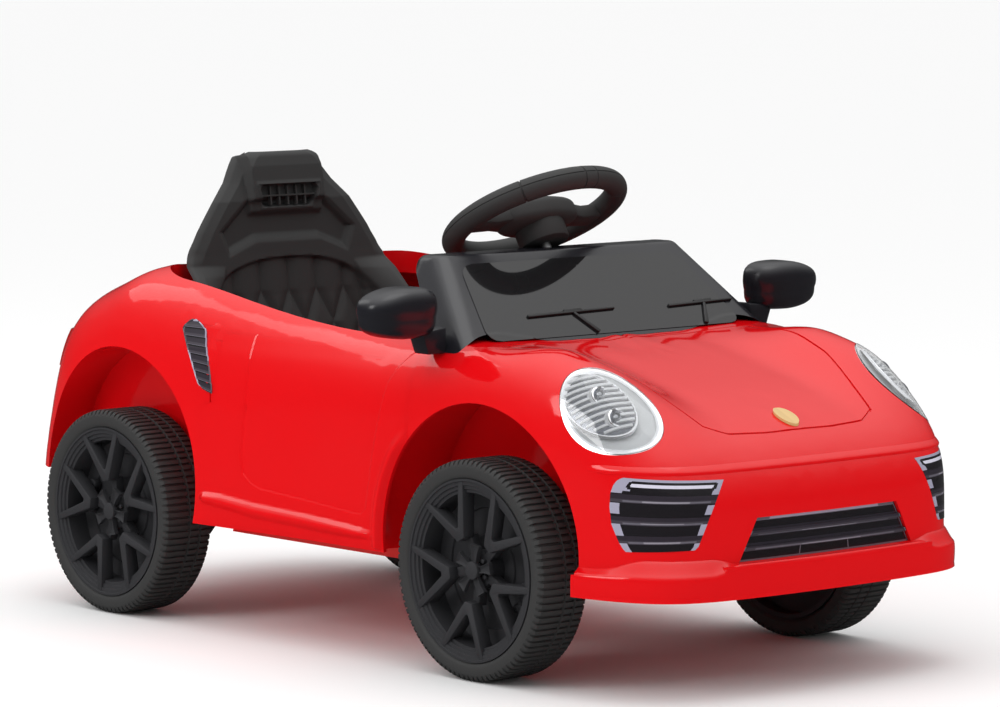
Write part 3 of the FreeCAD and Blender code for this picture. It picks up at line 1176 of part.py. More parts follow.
def steering_column():
    """The column: a rod with a crank plate and pin at its foot."""
    body = doc.addObject("PartDesign::Body", "steering_column")
    pole = sketch_on(body, "pole", "XY_Plane", [], [("0", "0", "column_dia / 2")], offset="-column_length")
    pad(body, pole, "column_length - 2 * button_proud - seat_gap")
    arm_end = "-crank_arm - crank_pin_dia"
    collar, level = "column_dia * 0.75", "crank_up - column_length"
    arm = sketch_on(body, "crank", "XY_Plane", [[
        (arm_end, "-crank_pin_dia"), (collar, f"-{collar}"), (collar, collar), (arm_end, "crank_pin_dia"),
    ]], offset=level)
    pad(body, arm, "crank_plate")
    tip = ("-crank_arm", "0", "crank_pin_dia / 2")
    pin = sketch_on(body, "crank_pin", "XY_Plane", [], [tip], offset=level)
    pad(body, pin, "crank_pin_length", reverse=True)
    return node(column_place(body), "steering_column")


steering_wheel()
wheel_button("horn", "1")
wheel_button("music", "-1")
steering_column()


def knuckle(label, hand):
    """A steering knuckle: kingpin, block, stub axle outwards, and an arm back to the tie rod."""
    x, y = "front_axle_x", f"{hand} * kingpin_y"
    top = "front_deck_low - bracket_height - move_gap"
    hub = box(f"knuckle_block_{label}", (f"{x} - knuckle_half", f"{x} + knuckle_half"),
              (f"{y} - knuckle_half", f"{y} + knuckle_half"), ("knuckle_low", top))
    pin = rod(f"kingpin_{label}", "kingpin_dia / 2", "front_deck_low + 2 * tub_wall - knuckle_low", x, y,
              "knuckle_low")
    length = f"{AXLE_END} - kingpin_y"
    start = y if hand > 0 else f"-({AXLE_END})"
    stub = rod(f"stub_{label}", "axle_dia / 2", length, x, start, "wheel_dia / 2", "y")
    arm = box(f"steer_arm_{label}", (f"{x} - steer_arm - steer_pin_dia", x),
              (f"{y} - steer_pin_dia", f"{y} + steer_pin_dia"),
              ("steer_arm_low", "steer_arm_low + steer_arm_wall"))
    peg = rod(f"steer_pin_{label}", "steer_pin_dia / 2", "steer_pin_drop + steer_arm_wall / 2",
              f"{x} - steer_arm", y, "steer_arm_low - steer_pin_drop")
    node(fuse(f"knuckle_{label}", hub, pin, stub, arm, peg), f"steering_knuckle_{label}")
    half = "(ear_reach_y - kingpin_y)"
    bush = box(f"bracket_block_{label}", (f"{x} - ear_length / 2", f"{x} + ear_length / 2"),
               (f"{y} - {half}", f"{y} + {half}"), ("front_deck_low - bracket_height", "front_deck_low"))
    hole = rod(f"bracket_hole_{label}", "kingpin_dia / 2 + running_gap", "2 * bracket_height", x, y,
               "front_deck_low - 1.5 * bracket_height")
    return cut(f"kingpin_bracket_{label}", bush, hole)


group("kingpin_brackets", *[knuckle(side_name, side_hand) for side_name, side_hand in SIDES])


def tie_rod():
    """The tie rod: a flat bar from knuckle to knuckle with a slotted plate at the column's crank pin."""
    body = doc.addObject("PartDesign::Body", "tie_rod")
    lean = "column_lean"
    drop = "(column_length - crank_up + crank_pin_length / 2)"
    pin_x = f"(wheel_hub_x + {drop} * sin({lean}) - crank_arm * cos({lean}))"
    bar_x = "(front_axle_x - steer_arm)"
    half, reach = "tie_rod_width / 2", "(kingpin_y + tie_rod_width / 2)"
    bulge = "(crank_pin_dia + tie_rod_width)"
    back, front, nose = f"{bar_x} - {half}", f"{bar_x} + {half}", f"{pin_x} + {half} + crank_pin_dia"
    outline = [(back, f"-{reach}"), (front, f"-{reach}"), (front, f"-2 * {bulge}"), (nose, f"-{bulge}"),
               (nose, bulge), (front, f"2 * {bulge}"), (front, reach), (back, reach)]
    pad(body, sketch_on(body, "tie_plan", "XY_Plane", [outline], offset="tie_rod_low"), "tie_rod_wall")
    play, run = "(steer_pin_dia / 2 + slot_play)", "(steer_pin_dia / 2 + slot_run)"
    wide, far = "(crank_pin_dia / 2 + slot_play)", "(crank_pin_dia + 2 * slot_run)"
    slots = [(f"{bar_x} - {play}", f"{bar_x} + {run}", f"{hand} * kingpin_y", play) for hand in ("1", "-1")]
    slots.append((f"{pin_x} - {wide} - slot_run", f"{pin_x} + {far}", "0", wide))
    holes = []
    for low, high, y, side in slots:
        right, left = f"{y} - {side}", f"{y} + {side}"
        holes.append([(low, right), (high, right), (high, left), (low, left)])
    cuts = sketch_on(body, "tie_slots", "XY_Plane", holes, offset="tie_rod_low + tie_rod_wall")
    pocket(body, cuts, "2 * tie_rod_wall")
    node(body, "tie_rod")


tie_rod()

# Accelerator pedal


def pedal_parts():
    """The accelerator: a grooved plate on a barrel, a base with two ears, and the pin through them."""
    floor = "tub_low + tub_wall"
    axis_z = f"({floor} + pedal_base_wall + pedal_pin_up)"
    half = "pedal_width / 2"
    barrel = rod("pedal_barrel", "pedal_barrel_dia / 2", "pedal_width", "0", f"-{half}", "0", "y")
    plate = box("pedal_plate", ("0", "pedal_length"), (f"-{half}", half),
                ("pedal_barrel_dia / 2 - pedal_wall", "pedal_barrel_dia / 2"))
    bore = ("pedal_pin_dia / 2 + running_gap", "2 * pedal_width")
    tools = [rod("pedal_bore", *bore, "0", "-pedal_width", "0", "y")]
    for i in range(int(SIZE["pedal_grooves"])):
        start = f"pedal_length * {i + 1.2} / (pedal_grooves + 1)"
        tools.append(box(f"pedal_groove_{i}", (start, f"{start} + pedal_groove"),
                         (f"pedal_groove - {half}", f"{half} - pedal_groove"),
                         ("pedal_barrel_dia / 2 - pedal_groove / 2", "pedal_barrel_dia")))
    pedal = cut("accelerator", fuse("pedal_solid", barrel, plate), *tools)
    pedal.Placement = FreeCAD.Placement(MIDDLE, FreeCAD.Rotation(Vector(0, 1, 0), -SIZE["pedal_lean"]))
    bind(pedal, **{"Placement.Base.x": "pedal_x", "Placement.Base.y": "pedal_y", "Placement.Base.z": axis_z})
    node(pedal, "accelerator_pedal")
    inner, outer = f"({half} + move_gap)", f"({half} + pedal_ear)"
    foot = box("pedal_foot", ("pedal_x - pedal_barrel_dia", "pedal_x + pedal_barrel_dia"),
               (f"pedal_y - {outer}", f"pedal_y + {outer}"), (floor, f"{floor} + pedal_base_wall - move_gap"))
    length = ("pedal_x - pedal_barrel_dia / 2", "pedal_x + pedal_barrel_dia / 2")
    level = (floor, f"{axis_z} + pedal_barrel_dia / 2")
    ears = [box("pedal_ear_left", length, (f"pedal_y + {inner}", f"pedal_y + {outer}"), level),
            box("pedal_ear_right", length, (f"pedal_y - {outer}", f"pedal_y - {inner}"), level)]
    hole = rod("pedal_ear_hole", *bore, "pedal_x", "pedal_y - pedal_width", axis_z, "y")
    node(cut("pedal_stand", fuse("pedal_stand_solid", foot, *ears), hole), "pedal_base")
    pin = rod("pedal_pin", "pedal_pin_dia / 2", "pedal_width + 2 * pedal_ear", "pedal_x",
              f"pedal_y - {outer}", axis_z, "y")
    node(pin, "pedal_pin")


pedal_parts()

# Checks and export

doc.recompute()
faults = [o.Name for o in doc.Objects if {"Invalid", "Error"} & set(o.State)]
faults += [n.Label for n in NODES if n.Shape.isNull() or not n.Shape.isValid() or not n.Shape.Solids]
if faults:
    raise RuntimeError("failed objects: " + ", ".join(faults))
os.makedirs("parts", exist_ok=True)
for part in NODES:
    part.Shape.exportStep(f"parts/{part.Label}.step")
print(len(NODES), "sub-parts written")
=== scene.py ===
"""Studio looks of the electric ride-on car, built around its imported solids.

Lengths are metres in the car's frame: +X forward, +Y to the car's left, +Z up, the origin on the floor
under the car's middle. A size that is thought of in millimetres is written as a number times MM. Tables of
outline points are in plain millimetres, as are the classes that say so.
"""
from __future__ import annotations

import json
import logging
import math
from collections.abc import Callable, Sequence
from dataclasses import dataclass
from enum import Enum

import bpy
import numpy as np
from mathutils import Matrix, Vector
from mathutils.bvhtree import BVHTree

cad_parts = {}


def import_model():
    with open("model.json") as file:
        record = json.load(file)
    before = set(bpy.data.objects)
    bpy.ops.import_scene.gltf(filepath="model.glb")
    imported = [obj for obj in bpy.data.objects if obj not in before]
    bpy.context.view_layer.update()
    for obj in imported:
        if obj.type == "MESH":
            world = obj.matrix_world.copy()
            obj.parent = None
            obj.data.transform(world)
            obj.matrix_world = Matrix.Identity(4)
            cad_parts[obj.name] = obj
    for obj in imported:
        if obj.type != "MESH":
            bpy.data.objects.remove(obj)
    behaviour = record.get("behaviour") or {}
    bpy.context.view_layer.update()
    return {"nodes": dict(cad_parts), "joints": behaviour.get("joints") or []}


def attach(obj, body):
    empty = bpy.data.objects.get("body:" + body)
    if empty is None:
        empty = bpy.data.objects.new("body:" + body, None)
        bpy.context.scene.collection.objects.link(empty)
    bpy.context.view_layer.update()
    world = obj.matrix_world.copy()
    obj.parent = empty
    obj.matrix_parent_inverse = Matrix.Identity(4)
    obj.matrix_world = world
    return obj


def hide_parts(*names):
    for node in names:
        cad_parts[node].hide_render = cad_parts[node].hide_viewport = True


LOG = logging.getLogger("ride_on_car")
MM = 0.001
Piece = bpy.types.Object


class Side(Enum):
    """The car's two sides, each with the sign of its Y."""

    LEFT = 1
    RIGHT = -1

    @property
    def label(self) -> str:
        """The side's name as node names end with it."""
        return self.name.lower()

    def put(self, point: Vector) -> Vector:
        """A point of the left side, brought to this side."""
        return Vector((point.x, self.value * point.y, point.z))


class End(Enum):
    """The car's two axles."""

    FRONT = "front"
    REAR = "rear"


# Finishes


class GrainGroup:
    """The shared node group for the fine grain and the uneven sheen of moulded plastic."""

    NAME = "moulded_grain"

    @classmethod
    def get(cls) -> bpy.types.NodeTree:
        """Build the group once.

        Returns:
            A group that takes Scale, Low and High and gives Height and Roughness.
        """
        found = bpy.data.node_groups.get(cls.NAME)
        if found:
            return found
        tree = bpy.data.node_groups.new(cls.NAME, "ShaderNodeTree")
        for name, start in (("Scale", 900.0), ("Low", 0.3), ("High", 0.5)):
            socket = tree.interface.new_socket(name, in_out="INPUT", socket_type="NodeSocketFloat")
            socket.default_value = start
        for name in ("Height", "Roughness"):
            tree.interface.new_socket(name, in_out="OUTPUT", socket_type="NodeSocketFloat")
        given = tree.nodes.new("NodeGroupInput")
        result = tree.nodes.new("NodeGroupOutput")
        place = tree.nodes.new("ShaderNodeTexCoord")
        grain = tree.nodes.new("ShaderNodeTexNoise")
        sheen = tree.nodes.new("ShaderNodeTexNoise")
        sheen.inputs["Scale"].default_value = 14.0
        sheen.inputs["Detail"].default_value = 3.0
        reach = tree.nodes.new("ShaderNodeMapRange")
        tree.links.new(place.outputs["Object"], grain.inputs["Vector"])
        tree.links.new(place.outputs["Object"], sheen.inputs["Vector"])
        tree.links.new(given.outputs["Scale"], grain.inputs["Scale"])
        tree.links.new(grain.outputs["Fac"], result.inputs["Height"])
        tree.links.new(sheen.outputs["Fac"], reach.inputs["Value"])
        tree.links.new(given.outputs["Low"], reach.inputs["To Min"])
        tree.links.new(given.outputs["High"], reach.inputs["To Max"])
        tree.links.new(reach.outputs["Result"], result.inputs["Roughness"])
        return tree


@dataclass(frozen=True)
class Finish:
    """A plain finish: one colour, a sheen that wanders a little, and an optional fine grain."""

    name: str
    colour: tuple[float, float, float]
    sheen: tuple[float, float]
    metallic: float = 0.0
    coat: float = 0.0
    clear: float = 0.0
    grain_scale: float = 900.0
    grain_depth: float = 0.0

    def material(self) -> bpy.types.Material:
        """Build the material once.

        Returns:
            The finish as a material.
        """
        found = bpy.data.materials.get(self.name)
        if found:
            return found
        made = bpy.data.materials.new(self.name)
        made.use_nodes = True
        tree = made.node_tree
        shader = tree.nodes["Principled BSDF"]
        shader.inputs["Base Color"].default_value = (*self.colour, 1.0)
        shader.inputs["Metallic"].default_value = self.metallic
        shader.inputs["Coat Weight"].default_value = self.coat
        shader.inputs["Coat Roughness"].default_value = 0.04
        shader.inputs["Transmission Weight"].default_value = self.clear
        made.diffuse_color = (*self.colour, 1.0)
        grain = tree.nodes.new("ShaderNodeGroup")
        grain.node_tree = GrainGroup.get()
        grain.inputs["Scale"].default_value = self.grain_scale
        grain.inputs["Low"].default_value, grain.inputs["High"].default_value = self.sheen
        tree.links.new(grain.outputs["Roughness"], shader.inputs["Roughness"])
        if self.grain_depth:
            bump = tree.nodes.new("ShaderNodeBump")
            bump.inputs["Strength"].default_value = 1.0
            bump.inputs["Distance"].default_value = self.grain_depth
            tree.links.new(grain.outputs["Height"], bump.inputs["Height"])
            tree.links.new(bump.outputs["Normal"], shader.inputs["Normal"])
        return made


class Finishes:
    """Every finish on the car."""

    RED = Finish("red_gloss", (0.8, 0.004, 0.007), (0.05, 0.09), grain_scale=45.0, grain_depth=0.03 * MM)
    RED_INNER = Finish("red_satin", (0.70, 0.008, 0.004), (0.28, 0.40))
    BLACK_GLOSS = Finish("black_gloss", (0.010, 0.010, 0.011), (0.05, 0.10))
    BLACK_GLASS = Finish("black_glass", (0.012, 0.012, 0.013), (0.03, 0.05))
    BLACK_SATIN = Finish("black_satin", (0.017, 0.016, 0.018), (0.34, 0.46), grain_depth=0.05 * MM)
    WHEEL = Finish("wheel_black", (0.016, 0.016, 0.018), (0.28, 0.38), grain_depth=0.03 * MM)
    TYRE = Finish("tyre_black", (0.014, 0.013, 0.015), (0.36, 0.48), grain_depth=0.04 * MM)
    DEEP_BLACK = Finish("deep_black", (0.006, 0.006, 0.007), (0.5, 0.6))
    SILVER = Finish("lamp_silver", (0.90, 0.91, 0.93), (0.12, 0.20), metallic=0.85)
    WHITE = Finish("lamp_white", (0.86, 0.88, 0.90), (0.25, 0.35))
    FROST = Finish("lamp_frost", (0.80, 0.82, 0.83), (0.30, 0.42))
    SMOKE = Finish("lamp_smoke", (0.16, 0.17, 0.20), (0.18, 0.28), metallic=0.4)
    LAMP_GLASS = Finish("projector_glass", (0.42, 0.44, 0.47), (0.03, 0.06), metallic=0.6)
    CLEAR = Finish("clear_lens", (0.98, 0.99, 1.0), (0.0, 0.02), clear=1.0)
    RED_LENS = Finish("red_lens", (0.35, 0.008, 0.006), (0.06, 0.10), coat=0.5)
    PRINT_DARK = Finish("print_dark", (0.030, 0.024, 0.034), (0.18, 0.26))
    PRINT_BLACK = Finish("print_black", (0.012, 0.010, 0.013), (0.18, 0.26))
    PRINT_GLINT = Finish("print_glint", (0.30, 0.28, 0.33), (0.18, 0.26))
    PRINT_SHADE = Finish("print_shade", (0.058, 0.050, 0.064), (0.18, 0.26))
    PRINT_MIST = Finish("print_mist", (0.14, 0.13, 0.16), (0.18, 0.26))
    PRINT_LILAC = Finish("print_lilac", (0.38, 0.37, 0.48), (0.18, 0.26))
    PRINT_WHITE = Finish("print_white", (0.72, 0.70, 0.82), (0.18, 0.26))
    GOLD = Finish("badge_gold", (0.55, 0.33, 0.10), (0.25, 0.35), metallic=0.5)
    MIRROR = Finish("mirror_glass", (0.92, 0.93, 0.95), (0.01, 0.02), metallic=1.0)
    STEEL = Finish("zinc_steel", (0.56, 0.57, 0.58), (0.28, 0.40), metallic=1.0)
    GREY = Finish("button_grey", (0.32, 0.32, 0.34), (0.4, 0.5))
    MOTOR = Finish("motor_metal", (0.45, 0.46, 0.48), (0.30, 0.42), metallic=0.9)


NODE_FINISHES: tuple[tuple[tuple[str, ...], Finish], ...] = (
    (("chassis_tub",), Finishes.RED_INNER),
    (("rear_axle", "axle_nut", "steering_column", "steering_knuckle"), Finishes.STEEL),
    (("tie_rod", "pedal_pin"), Finishes.STEEL),
    (("drive_motor",), Finishes.MOTOR),
    (("mirror_glasses",), Finishes.MIRROR),
    (("horn_button", "music_button"), Finishes.GREY),
    (("tail_lamp",), Finishes.RED_LENS),
    (("bonnet_badge",), Finishes.GOLD),
    (("fog_panel", "lower_grille"), Finishes.PRINT_BLACK),
    (("headlamp_housing",), Finishes.WHITE),
    (("side_vent",), Finishes.PRINT_DARK),
)


def finish_of(node: str) -> Finish:
    """The finish of a CAD node that is shown as it is.

    Args:
        node: The node's name.

    Returns:
        Its finish, satin black where no other is listed.
    """
    return next((finish for starts, finish in NODE_FINISHES if node.startswith(starts)), Finishes.BLACK_SATIN)


# Modelling steps


def surface_of(mesh: bpy.types.Mesh) -> BVHTree:
    """A mesh's faces, ready to be searched."""
    return BVHTree.FromPolygons([v.co for v in mesh.vertices], [tuple(f.vertices) for f in mesh.polygons])


class Bench:
    """Small modelling steps with Blender's own operators, shared by every sub-assembly."""

    @staticmethod
    def clear() -> None:
        """Go back to object mode with nothing selected."""
        if bpy.context.mode != "OBJECT":
            bpy.ops.object.mode_set(mode="OBJECT")
        bpy.ops.object.select_all(action="DESELECT")

    @staticmethod
    def hold(*things: Piece) -> None:
        """Select only these pieces, the first one active.

        Args:
            things: The pieces.
        """
        Bench.clear()
        for thing in things:
            thing.select_set(True)
        bpy.context.view_layer.objects.active = things[0]

    @staticmethod
    def edit(thing: Piece, *steps: Callable[[], object]) -> None:
        """Take steps in edit mode with all of a piece's mesh selected.

        Args:
            thing: The piece.
            steps: What to do there, in order.
        """
        Bench.hold(thing)
        bpy.ops.object.mode_set(mode="EDIT")
        bpy.ops.mesh.select_all(action="SELECT")
        for step in steps:
            step()
        bpy.ops.object.mode_set(mode="OBJECT")

    @staticmethod
    def weld(thing: Piece, gap: float = 1e-6) -> None:
        """Merge points closer than a gap and turn the faces outwards."""
        Bench.edit(thing, lambda: bpy.ops.mesh.remove_doubles(threshold=gap),
                   lambda: bpy.ops.mesh.normals_make_consistent(inside=False))

    @staticmethod
    def face(thing: Piece, way: Vector) -> None:
        """Flip an open sheet that looks against a way, on the whole."""
        if sum(side.normal.dot(way) * side.area for side in thing.data.polygons) < 0:
            Bench.edit(thing, bpy.ops.mesh.flip_normals)

    @staticmethod
    def lay(columns: Sequence[float], rows: Sequence[float], place: Callable[[float, float], Vector],
            facing: Vector | None = None) -> Piece:
        """Add a grid and lay its points over a surface.

        Args:
            columns: The surface's first parameter at each column.
            rows: Its second parameter at each row.
            place: Gives the point for a column's and a row's parameter.
            facing: The way that an open sheet's faces look, on the whole.

        Returns:
            The laid grid, welded where it closes on itself.
        """
        Bench.clear()
        wide, tall = len(columns) - 1, len(rows) - 1
        bpy.ops.mesh.primitive_grid_add(x_subdivisions=wide, y_subdivisions=tall, size=2.0)
        thing = bpy.context.object
        for vertex in thing.data.vertices:
            i = round((vertex.co.x + 1) / 2 * wide)
            j = round((vertex.co.y + 1) / 2 * tall)
            vertex.co = place(columns[i], rows[j])
        Bench.weld(thing)
        if facing is not None:
            Bench.face(thing, facing)
        return thing

    @staticmethod
    def plate(corners: Sequence[Vector], push: Vector, round_off: float = 0.0) -> Piece:
        """Add a flat outline, push it out to a plate and round its edges.

        Args:
            corners: The outline's corners in order.
            push: The way and depth of the push.
            round_off: The width of the edge rounding.

        Returns:
            The plate.
        """
        Bench.clear()
        bpy.ops.mesh.primitive_circle_add(vertices=len(corners), radius=1.0, fill_type="NGON")
        thing = bpy.context.object
        for vertex, corner in zip(thing.data.vertices, corners):
            vertex.co = corner
        Bench.edit(thing, lambda: bpy.ops.mesh.extrude_region_move(TRANSFORM_OT_translate={"value": push}))
        Bench.weld(thing)
        if round_off:
            Bench.modify(thing, "BEVEL", width=round_off, segments=2, limit_method="ANGLE")
        return thing

    @staticmethod
    def turned(outline: Sequence[tuple[float, float]], steps: int) -> Piece:
        """Turn a closed outline round the Y axis.

        Args:
            outline: Corners as (along Y, radius).
            steps: Steps in the full round.

        Returns:
            The turned piece.
        """
        Bench.clear()
        bpy.ops.mesh.primitive_circle_add(vertices=len(outline), radius=1.0, fill_type="NOTHING")
        thing = bpy.context.object
        for vertex, (level, radius) in zip(thing.data.vertices, outline):
            vertex.co = Vector((0.0, level, radius))
        Bench.edit(thing, lambda: bpy.ops.mesh.spin(steps=steps, angle=math.tau, center=(0, 0, 0),
                                                    axis=(0, 1, 0)))
        Bench.weld(thing, 1e-5)
        return thing

    @staticmethod
    def knob(radius: float, depth: float, base: Vector, out: Vector, round_off: float,
             sides: int = 32) -> Piece:
        """Add a short cylinder with rounded edges.

        Args:
            radius: Its radius.
            depth: Its depth.
            base: The middle of its foot.
            out: The way that it stands out.
            round_off: The width of the edge rounding.
            sides: The number of sides.

        Returns:
            The knob.
        """
        Bench.clear()
        bpy.ops.mesh.primitive_cylinder_add(vertices=sides, radius=radius, depth=depth)
        thing = bpy.context.object
        turn = out.to_track_quat("Z", "Y").to_matrix().to_4x4()
        Bench.settle(thing, Matrix.Translation(base + out.normalized() * depth / 2) @ turn)
        if round_off:
            Bench.modify(thing, "BEVEL", width=round_off, segments=2, limit_method="ANGLE")
        return thing

    @staticmethod
    def modify(thing: Piece, kind: str, **settings: object) -> None:
        """Add a modifier and apply it.

        Args:
            thing: The piece.
            kind: The modifier's type.
            settings: Its settings by name.
        """
        Bench.hold(thing)
        added = thing.modifiers.new(kind.lower(), kind)
        for name, value in settings.items():
            setattr(added, name, value)
        bpy.ops.object.modifier_apply(modifier=added.name)

    @staticmethod
    def even_normals(thing: Piece, reach: Callable[[Vector], float], spread: float) -> None:
        """Shade a mesh by what its surface does nearby, so that thin faces leave no marks.

        Args:
            thing: The piece, with its doubles merged.
            reach: Gives how far round a point faces count, the less the farther away.
            spread: Faces that look farther away than this many degrees don't count.
        """
        mesh = thing.data
        tree = surface_of(mesh)
        areas = np.array([face.area for face in mesh.polygons])
        looks = np.array([face.normal for face in mesh.polygons])
        users: dict[int, list[tuple[int, int]]] = {}
        for face in mesh.polygons:
            for corner, vertex in zip(face.loop_indices, face.vertices):
                users.setdefault(vertex, []).append((corner, face.index))
        shades = np.zeros((len(mesh.loops), 3))
        limit = math.cos(math.radians(spread))
        for vertex, corners in users.items():
            spot = mesh.vertices[vertex].co
            wide = reach(spot)
            found = tree.find_nearest_range(spot, wide)
            near = np.array([hit[2] for hit in found])
            fade = np.array([1 - hit[3] / wide for hit in found]) ** 2
            own = looks[[face for _, face in corners]]
            weights = (own @ looks[near].T > limit) * (areas[near] * fade)
            shades[[corner for corner, _ in corners]] = weights @ looks[near] + own * 1e-12
        shades /= np.linalg.norm(shades, axis=1, keepdims=True)
        mesh.normals_split_custom_set(shades.tolist())

    @staticmethod
    def merged(node: Piece, gap: float) -> Piece:
        """Copy a CAD node and merge its loose triangles.

        Args:
            node: The node.
            gap: Points closer than this become one.

        Returns:
            The merged copy.
        """
        thing = Bench.copy(node)
        Bench.edit(thing, lambda: bpy.ops.mesh.remove_doubles(threshold=gap))
        return thing

    @staticmethod
    def settle(thing: Piece, matrix: Matrix) -> None:
        """Move a piece's mesh and leave its object at the origin."""
        thing.data.transform(matrix)
        thing.data.update()

    @staticmethod
    def copy(thing: Piece) -> Piece:
        """Copy a piece.

        Args:
            thing: The piece.

        Returns:
            The copy, with a mesh of its own.
        """
        other = bpy.data.objects.new(thing.name, thing.data.copy())
        bpy.context.collection.objects.link(other)
        return other

    @staticmethod
    def join(things: Sequence[Piece]) -> Piece:
        """Join pieces, each keeping its materials.

        Args:
            things: The pieces.

        Returns:
            The one piece.
        """
        Bench.hold(*things)
        bpy.ops.object.join()
        return bpy.context.object

    @staticmethod
    def paint(thing: Piece, finish: Finish) -> Piece:
        """Give a piece one finish all over.

        Args:
            thing: The piece.
            finish: Its finish.

        Returns:
            The piece.
        """
        thing.data.materials.clear()
        thing.data.materials.append(finish.material())
        return thing

    @staticmethod
    def finish(thing: Piece, name: str, body: str, slot: str, nodes: Sequence[str] = (),
               angle: float = 32.0) -> Piece:
        """Name a piece, smooth it, and tie it to its body and the nodes that it stands for.

        Args:
            thing: The piece.
            name: Its name.
            body: The body that it rides on.
            slot: The record's material slot; not used.
            nodes: The CAD nodes that it replaces.
            angle: Edges sharper than this many degrees stay sharp.

        Returns:
            The piece.
        """
        Bench.hold(thing)
        bpy.ops.object.shade_smooth_by_angle(angle=math.radians(angle), keep_sharp_edges=False)
        thing.name = name
        thing.data.name = name
        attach(thing, body)
        if nodes:
            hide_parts(*nodes)
        LOG.info("piece %s on body %s, %d faces", name, body, len(thing.data.polygons))
        return thing


class Skin:
    """The surface of a CAD node, to lay other pieces on."""

    def __init__(self, node: Piece) -> None:
        """Read the node's surface once."""
        self.tree = surface_of(node.data)

    def meet(self, point: Vector, way: Vector, back: float = 0.3) -> Vector | None:
        """Find where a line first meets the surface.

        Args:
            point: A point of the line.
            way: The line's way.
            back: How far before the point the line starts.

        Returns:
            The first place met, or None.
        """
        return self.tree.ray_cast(point - way * back, way)[0]

    def onto(self, point: Vector, way: Vector, back: float = 0.3) -> Vector:
        """The first place that the line meets, or the point itself."""
        met = self.meet(point, way, back)
        return met if met else point


def ramp(low: float, high: float, value: float) -> float:
    """A smooth step from 0 below low to 1 above high."""
    share = clip((value - low) / (high - low))
    return share * share * (3 - 2 * share)


def clip(value: float) -> float:
    """A value held between 0 and 1."""
    return min(1.0, max(0.0, value))


def rounded(share: float) -> float:
    """How far a quarter-round edge has fallen, at a share of the way over it."""
    return 1 - math.sqrt(max(0.0, 1 - share * share))


def signed_power(value: float, power: float) -> float:
    """A power of a value's size, with the value's sign."""
    return math.copysign(abs(value) ** power, value)


def along(stops: Sequence[tuple[float, float]], at: float) -> float:
    """Read a table, straight between its rows.

    Args:
        stops: The rows as (place, value), places rising.
        at: The place to read at.

    Returns:
        The value there.
    """
    for (low, start), (high, end) in zip(stops, stops[1:]):
        if at <= high:
            return start + (end - start) * max(0.0, at - low) / (high - low)
    return stops[-1][1]


def even(start: float, end: float, count: int) -> list[float]:
    """Evenly spaced numbers from start to end, both counted in."""
    return [start + (end - start) * i / (count - 1) for i in range(count)]


# Body panels


@dataclass
class BodyPanels:
    """The red moulding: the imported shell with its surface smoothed."""

    weld_gap: float = 0.002 * MM
    crease: float = 28.0
    middle: tuple[tuple[float, float], ...] = (
        (150, 349), (200, 344.3), (220, 342.1), (240, 339.7), (260, 336.5), (280, 332.7), (300, 328.3),
        (320, 323.2), (350, 315.8))
    eased_half: float = 240 * MM
    eased_share: float = 0.85
    fine_reach: float = 5.0
    bonnet_reach: float = 18.0

    def eased(self, point: Vector) -> Vector:
        """Lower the fenders to the bonnet's height where they run into the windscreen's foot.

        Args:
            point: A point of the shell.

        Returns:
            The point where it goes.
        """
        x, z = point.x / MM, point.z / MM
        near = ramp(150, 205, x) * (1 - ramp(232, 345, x))
        over = max(0.0, z - along(self.middle, x) - 1.5)
        if abs(point.y) >= self.eased_half:
            return point
        return Vector((point.x, point.y, (z - over * near * self.eased_share) * MM))

    def reach(self, point: Vector) -> float:
        """How far round a point its shade is taken.

        Args:
            point: A point of the shell.

        Returns:
            The distance, longer on the bonnet's back half.
        """
        x, z = point.x / MM, point.z / MM
        bonnet = ramp(140, 200, x) * (1 - ramp(350, 420, x)) * ramp(296, 306, z)
        return (self.fine_reach + (self.bonnet_reach - self.fine_reach) * bonnet) * MM

    def build(self, nodes: dict[str, Piece]) -> None:
        """Dress the shell.

        Args:
            nodes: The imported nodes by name.
        """
        shell = Bench.paint(Bench.merged(nodes["body_shell"], self.weld_gap), Finishes.RED)
        for vertex in shell.data.vertices:
            vertex.co = self.eased(vertex.co)
        Bench.finish(shell, "body_panels", "car", "red_body", ["body_shell"], self.crease)
        Bench.even_normals(shell, self.reach, self.crease)


